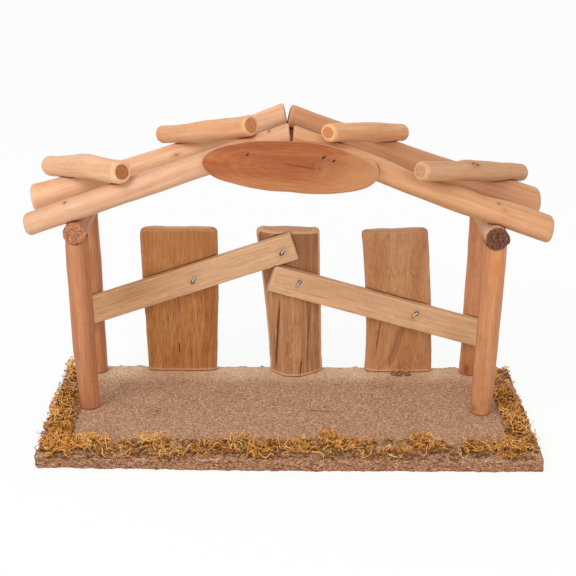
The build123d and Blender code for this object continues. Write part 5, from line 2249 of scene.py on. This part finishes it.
def sticks() -> list[PeeledStick]:
    """Lists the posts, logs, rafters and roof sticks with what is their own."""
    right, left = (1.0, 0.0, 0.6), (-1.0, 0.0, 0.6)
    posts = (
        ("front_left_post", post_wood(1, tint(199, 136, 95), tint(181, 117, 76)), 11),
        ("front_right_post", post_wood(2, tint(212, 150, 105), tint(194, 131, 87), marks=(
            Mark((123.4, -8.4, 108.0), 3.4, MarkKind.WARM, 1.7, 0.8),
            Mark((116.6, -5.5, 11.5), 1.4, MarkKind.DAMP, 1.3, 0.7),
        )), 12),
        ("back_left_post", post_wood(3, tint(208, 145, 103), tint(188, 124, 84), streaks=0.5), 13),
        ("back_right_post", post_wood(4, tint(216, 152, 106), tint(196, 132, 88), marks=(
            Mark((120.0, 49.0, 12.0), 2.2, MarkKind.DAMP, 2.4, 0.8),
        )), 14),
    )
    leans = {
        "front_left_post": {"sways": (-0.75, 0.9, 1.2), "swells": (0.1, 0.5, 0.6)},
        "back_left_post": {"sways": (-0.8, 0.0, 0.8)},
        "front_right_post": {"sways": (0.25, -0.6, -0.4)},
    }
    made = [
        PeeledStick(node, wood, UP, FRONT, 0.7, 0.3, seed, **leans.get(node, {}))
        for node, wood, seed in posts
    ]
    left_plate = post_wood(
        5, tint(210, 152, 116), tint(190, 128, 94), cut=EndCut.ROUGH,
        end_pale=tint(232, 166, 122), end_dark=tint(202, 130, 92), end_fleck=tint(242, 186, 148),
        streaks=0.25,
    )
    right_plate = post_wood(
        6, tint(228, 186, 148), tint(206, 158, 118), cut=EndCut.BARKY, streaks=0.25,
        end_pale=tint(160, 104, 78), end_dark=tint(118, 66, 46), end_fleck=tint(206, 154, 124),
        end_pit=tint(62, 34, 24),
    )
    # Painted shade: ridge_log is coloured darker than the other logs, as it lies deep under the rafters
    shaded_ridge = post_wood(7, tint(100, 60, 38), tint(78, 46, 30))
    stub = (Hump((129.4, -8.6, 125.0), 0.9, 3.0, 3.0),)
    burred = tuple(float(share) for share in np.linspace(0.04, 0.97, 16))
    made += [
        PeeledStick("left_plate_log", left_plate, BACK, UP, 0.9, 0.9, 15, end_roughness=0.6,
                    sways=(1.5, 0.0, 0.0), around=96, cap_rows=burred),
        PeeledStick("right_plate_log", right_plate, BACK, UP, 0.9, 0.9, 16, end_roughness=0.8,
                    humps=stub, around=96, cap_rows=burred),
        PeeledStick("ridge_log", shaded_ridge, BACK, UP, 0.9, 0.9, 17, end_roughness=0.15, trims=(4.0, 0.0)),
    ]
    front_left = roof_wood(
        8, tint(218, 171, 138), tint(204, 152, 118),
        marks=(Mark((-133.9, -1.6, 145.1), 0.8, MarkKind.HOLE, 1.2),),
    )
    front_right = roof_wood(
        9, tint(211, 158, 114), tint(194, 137, 93), marks=(
            Mark((122.3, -3.1, 146.7), 0.7, MarkKind.BRAD, 1.2, 0.8),
            Mark((125.8, -5.6, 143.1), 2.0, MarkKind.STAIN, 1.6, 0.4),
        ),
    )
    back_left = roof_wood(
        10, tint(234, 186, 148), tint(219, 167, 125),
        marks=(Mark((-70.9, 38.4, 163.1), 0.8, reach=2.6, strength=0.6),),
    )
    back_right = roof_wood(11, tint(209, 155, 117), tint(190, 133, 92))
    made += [
        PeeledStick("front_left_rafter", front_left, right, UP, 3.0, 1.2, 18,
                    trims=(-0.8, -3.0), tilts=(0.12, 0.22)),
        PeeledStick("front_right_rafter", front_right, left, UP, 2.8, 1.6, 19,
                    trims=(0.3, -0.85), lifts=(-0.5, -0.6, 0.0), swells=(0.5, 0.5, 0.0), tilts=(0.22, 0.22),
                    humps=(Hump((114.0, 1.5, 153.5), -1.8, 14.0, 9.0),)),
        PeeledStick("back_left_rafter", back_left, right, UP, 2.4, 1.4, 20,
                    trims=(4.0, -1.1), lifts=(1.6, -0.6, 1.8), swells=(1.6, 0.0, 0.4), tilts=(0.14, 0.14)),
        PeeledStick("back_right_rafter", back_right, left, UP, 5.4, 2.4, 21,
                    trims=(2.7, -3.0), lifts=(2.0, 0.7, 0.4), swells=(1.2, 0.3, 0.2), tilts=(0.3, 0.12)),
    ]
    upper_left = roof_wood(
        12, tint(228, 177, 132), tint(215, 157, 113),
        end_pale=tint(201, 136, 91), end_dark=tint(166, 100, 62),
    )
    lower_left = roof_wood(
        13, tint(230, 184, 146), tint(219, 167, 125),
        end_pale=tint(183, 117, 71), end_dark=tint(144, 80, 43), rings=0.55,
    )
    upper_right = roof_wood(
        14, tint(231, 174, 125), tint(216, 154, 104),
        end_pale=tint(208, 136, 86), end_dark=tint(178, 106, 62),
    )
    lower_right = roof_wood(
        15, tint(211, 161, 120), tint(197, 144, 103), marks=(
            Mark((108.3, 13.1, 166.1), 1.3, reach=2.0, strength=0.7),
            Mark((111.0, 15.0, 165.0), 1.1, reach=2.0, strength=0.7),
        ),
        end_pale=tint(192, 151, 116), end_dark=tint(164, 118, 84), ring_pitch=0.0021, rings=0.3,
    )
    lower_left_humps = (Hump((-133.5, 38.0, 164.8), 0.9, 18.0, 8.0),)
    lower_right_humps = (Hump((103.7, 15.2, 166.8), 0.7, 7.0, 6.0),)
    made += [
        PeeledStick("upper_left_roof_stick", upper_left, BACK, UP, 1.5, 2.6, 22,
                    trims=(-1.0, 1.3), lifts=(1.1, -0.4, 1.2)),
        PeeledStick("lower_left_roof_stick", lower_left, BACK, UP, 2.4, 2.6, 23,
                    humps=lower_left_humps, trims=(2.0, -3.4), lifts=(0.2, 0.2, 1.2), sways=(0.8, 0.8, 0.8),
                    disc_shift=-1.8 * MM),
        PeeledStick("upper_right_roof_stick", upper_right, BACK, UP, 2.0, 2.4, 24,
                    trims=(0.0, 0.8), lifts=(0.8, 0.3, 0.0)),
        PeeledStick("lower_right_roof_stick", lower_right, BACK, UP, 2.2, 2.4, 25,
                    humps=lower_right_humps, trims=(0.0, -1.6), lifts=(2.2, 0.8, -0.4),
                    sways=(-1.2, -1.2, -1.2)),
    ]
    return made


def slabs(shaded_dents: tuple[Mark, ...]) -> list[Slab]:
    """Lists the planks and laths of the back wall with what is their own.

    Args:
        shaded_dents: Marks of the staples in the laths.

    Returns:
        The slabs.
    """
    # A gouge in the right plank, cut into its front and darkened along it with painted shade
    gouge = (Crack((68.0, 9.0), (77.0, 47.0), 3.0, 1.2),)
    left = SawnWood(
        "plank_wood", tint(194, 131, 75), tint(172, 108, 54), tint(128, 73, 33), tint(212, 160, 116),
        tint(214, 164, 118), 21, far=tint(186, 124, 74), far_share=0.35,
        cracks=(Crack((-73.1, 20.5), (-73.1, 29.5), 0.5, 0.6),),
    )
    middle = SawnWood(
        "plank_wood", tint(194, 142, 99), tint(171, 118, 76), tint(124, 76, 44), tint(220, 174, 132),
        tint(204, 154, 112), 22, worn=0.9, far=tint(138, 88, 56), far_share=0.5, cracks=(
            Crack((-8.7, 8.0), (-6.3, 64.0), 0.75, 1.0),
            Crack((7.8, 7.0), (8.7, 20.0), 0.5, 0.7),
            Crack((12.4, 12.0), (13.6, 58.0), 0.3, 0.45),
        ),
    )
    right = SawnWood(
        "plank_wood", tint(204, 151, 107), tint(186, 129, 85), tint(138, 88, 52), tint(218, 168, 124),
        tint(212, 160, 116), 23, streaks=0.22, lines=0.32, groove_shades=gouge,
        cracks=(Crack((58.8, 22.0), (60.9, 50.0), 0.3, 0.4),),
    )
    straight = {"width": 0.0006, "stretch": 80.0, "streaks": 0.3, "lines": 0.28, "wander": 0.001,
                "foot": 0.3, "marks": shaded_dents}
    left_lath = SawnWood(
        "rail_wood", tint(212, 166, 122), tint(195, 147, 103), tint(156, 104, 63), tint(232, 194, 154),
        tint(222, 180, 140), 24, far=tint(236, 194, 154), far_share=0.42, **straight,
    )
    right_lath = SawnWood(
        "rail_wood", tint(224, 179, 137), tint(207, 160, 118), tint(168, 116, 76), tint(236, 196, 156),
        tint(226, 182, 142), 25, far=tint(236, 194, 150), far_share=0.25, **straight,
    )
    lath = {"even": True, "edge_round": 0.9, "waviness": 0.07, "live_edge": 0.1, "end_wave": 0.3,
            "right_wide": (1.1, 1.1, 1.1), "columns": 24}
    return [
        Slab("left_plank", left, 31, start_round=1.0, edge_round=2.2, end_round=1.4, end_wave=0.7,
             left_wide=(2.0, 2.6, 0.6), taller=1.2, top_corner=3.4, left_fall=(1.2, 1.2, 1.2),
             right_fall=(1.2, 1.2, 1.2)),
        Slab("middle_plank", middle, 32, start_round=1.0, edge_round=1.8, end_round=1.4, live_edge=0.3,
             left_wide=(0.2, 0.4, 1.4), right_wide=(1.4, -0.2, 0.4), top_corner=4.0, end_wave=0.4,
             left_fall=(7.0, 6.0, 5.0), right_fall=(7.5, 5.0, 3.0), fall_from=(0.4, 0.0),
             belly=(3.3, 0.0, 0.0)),
        Slab("right_plank", right, 33, start_round=1.0, edge_round=2.2, end_round=1.4, end_slant=0.035,
             end_wave=0.3, grooves=gouge, left_wide=(0.4, 0.3, 2.0), right_wide=(0.6, -0.6, -0.8),
             taller=1.5, top_corner=3.4, left_fall=(1.2, 1.2, 1.2), right_fall=(1.2, 1.2, 1.2)),
        Slab("left_rail", left_lath, 34, (1, 0, 0.4), start_round=0.7, end_round=0.5, teeth=0.8, **lath),
        Slab("right_rail", right_lath, 35, (1, 0, -0.3), start_round=0.5, end_round=0.7, **lath),
    ]


def oval_plaque(shaded_dents: tuple[Mark, ...]) -> OvalPlaque:
    """Gives the plaque on the gable.

    Args:
        shaded_dents: Marks of the staples in it.

    Returns:
        The plaque with its finish.
    """
    wood = SlantCutWood(
        "plaque_wood", tint(184, 109, 57), tint(157, 83, 40), tint(122, 54, 26), tint(190, 134, 87),
        tint(214, 158, 118), 31, split=((-6.5, -12.0, 172.9), (17.1, -12.0, 169.3)), marks=(
            Mark((15.8, -12.0, 169.9), 1.5, MarkKind.HEART, 2.0, 0.9),
            Mark((12.6, -12.0, 170.2), 1.5, MarkKind.HEART, 2.0, 0.9),
            Mark((13.2, -12.0, 170.2), 0.75, strength=0.85),
            Mark((17.5, -12.0, 169.3), 2.0, MarkKind.STAIN, 1.0, 0.3),
            *shaded_dents,
        ),
    )
    return OvalPlaque("oval_plaque", wood, 41)


def base_board() -> BaseBoard:
    """Gives the board with its finish and its scratches."""
    board = PressedFibre(
        "fibreboard", tint(171, 129, 100), tint(229, 195, 162), tint(98, 62, 42), tint(166, 113, 76),
        tint(70, 37, 21), tint(128, 68, 42), scratches=(
            Crack((8.6, -1.1), (31.0, -3.9), 0.75, 0.7),
            Crack((-89.5, -1.5), (-81.0, -3.0), 0.6, 0.6),
            Crack((-87.0, -4.6), (-82.0, -4.3), 0.6, 0.6),
            Crack((-85.5, 0.6), (-80.5, -0.6), 0.5, 0.6),
        ),
    )
    return BaseBoard("base_board", board, 51, torn=0.75)


def moss_bands() -> tuple[MossBand, ...]:
    """Lists the strips and the tuft of moss, with the clumps that stand out in them."""
    moss = DryMoss("moss", tint(84, 42, 19), tint(178, 114, 48), tint(232, 162, 80), tint(252, 208, 130))
    tall = (
        Tuft((-84.0, -41.0), 6.5, 7.5, 1.6),
        Tuft((-25.5, -41.0), 4.0, 8.0),
        Tuft((22.0, -40.0), 3.6, 12.0, 3.2),
        Tuft((28.0, -46.0), 6.0, 5.0),
        Tuft((78.0, -40.0), 4.2, 9.0, 2.6),
        Tuft((-128.0, -46.0), 8.0, 6.0),
        Tuft((-116.0, -44.0), 6.5, 5.5),
        Tuft((133.0, -46.0), 6.0, 5.5),
    )
    blob = (
        Tuft((-142.5, 51.0), 5.0, 11.5, 3.0),
        Tuft((-140.0, 50.0), 5.0, 9.0, 1.5),
        Tuft((-139.0, -47.0), 8.0, 6.5),
    )
    return (
        MossBand("front_moss", moss, 61, 46, 800, over=(22.0, 16.0, 2.4, 0.5), tufts=tall, long=190),
        MossBand("left_moss", moss, 62, 19, 330, over=(1.6, 2.0, 0.0, 1.0), tufts=blob, long=75),
        MossBand("right_moss", moss, 63, 15, 420, over=(1.0, 0.3, 0.0, 0.0), long=75),
        MossBand(
            "moss_tuft", moss, 64, 3, 12, girth=0.25, clump_radius=(1.6, 2.4),
            clump_height=(1.6, 3.0), fill=1.0, twigs=0.7, long=5,
        ),
    )


def main() -> None:
    """Builds, dresses and lights the stable and logs how many faces each piece has."""
    logging.basicConfig(level=logging.INFO, format="%(name)s: %(message)s")
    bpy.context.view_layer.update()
    round_wood = [stick.build() for stick in sticks()]
    wood = surface_of(round_wood)
    steel = DullWire("steel_wire", tint(206, 200, 192), tint(140, 130, 120))
    tarnished = DullWire("steel_wire", tint(150, 136, 124), tint(104, 90, 80), 0.2)
    blackened = DullWire("steel_wire", tint(54, 36, 28), tint(30, 20, 14), 0.0, 0.1)
    filler = DullWire("steel_wire", tint(214, 164, 124), tint(186, 134, 96), 0.0)
    in_rails = Staples("rail_staples", steel, FRONT, wire=0.75, proud=0.42, lower=1.2, turns=RAIL_TURNS)
    in_plaque = Staples("plaque_staples", blackened, FRONT, proud=-0.55, bow=0.65)
    in_ridge = Staples("ridge_staples", tarnished, UP, proud=0.7, sunk=RIDGE_SUNK)
    # Painted shade under the staple crowns, over the crushed wood of their dent
    shaded_dents = in_rails.shaded_dents(RAIL_SHADED_DENTS, 1.75, MarkKind.STAPLE)
    flat_wood = [slab.build() for slab in slabs(shaded_dents)]
    holes = in_plaque.shaded_dents(PLAQUE_SHADED_DENTS, 0.9, MarkKind.HOLE)
    flat_wood.append(oval_plaque(holes).build())
    ground = base_board().build()
    # Painted shade between the parts: how close each point lies to its neighbours
    mark_shaded_seams(round_wood, [*round_wood, *flat_wood, ground], SEAM_SHADE_REACH)
    mark_shaded_seams(flat_wood, [*round_wood, *flat_wood], SEAM_SHADE_REACH)
    pieces = [*round_wood, *flat_wood, ground]
    pieces += [band.build() for band in moss_bands()]
    pieces += [group.build() for group in (in_rails, in_plaque, in_ridge)]
    for node, wire in (("rafter_brads", blackened), ("stick_brads", filler), ("plate_brads", filler)):
        pieces.append(BradHeads(node, wire, radius=0.45).build(wood))
    for node in ("post_nails", "plank_nails"):
        steel.dress(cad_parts[node])
    for piece in pieces:
        log.info("%s: %d faces", piece.name, len(piece.data.polygons))
    Studio().build()


if __name__ == "__main__":
    main()
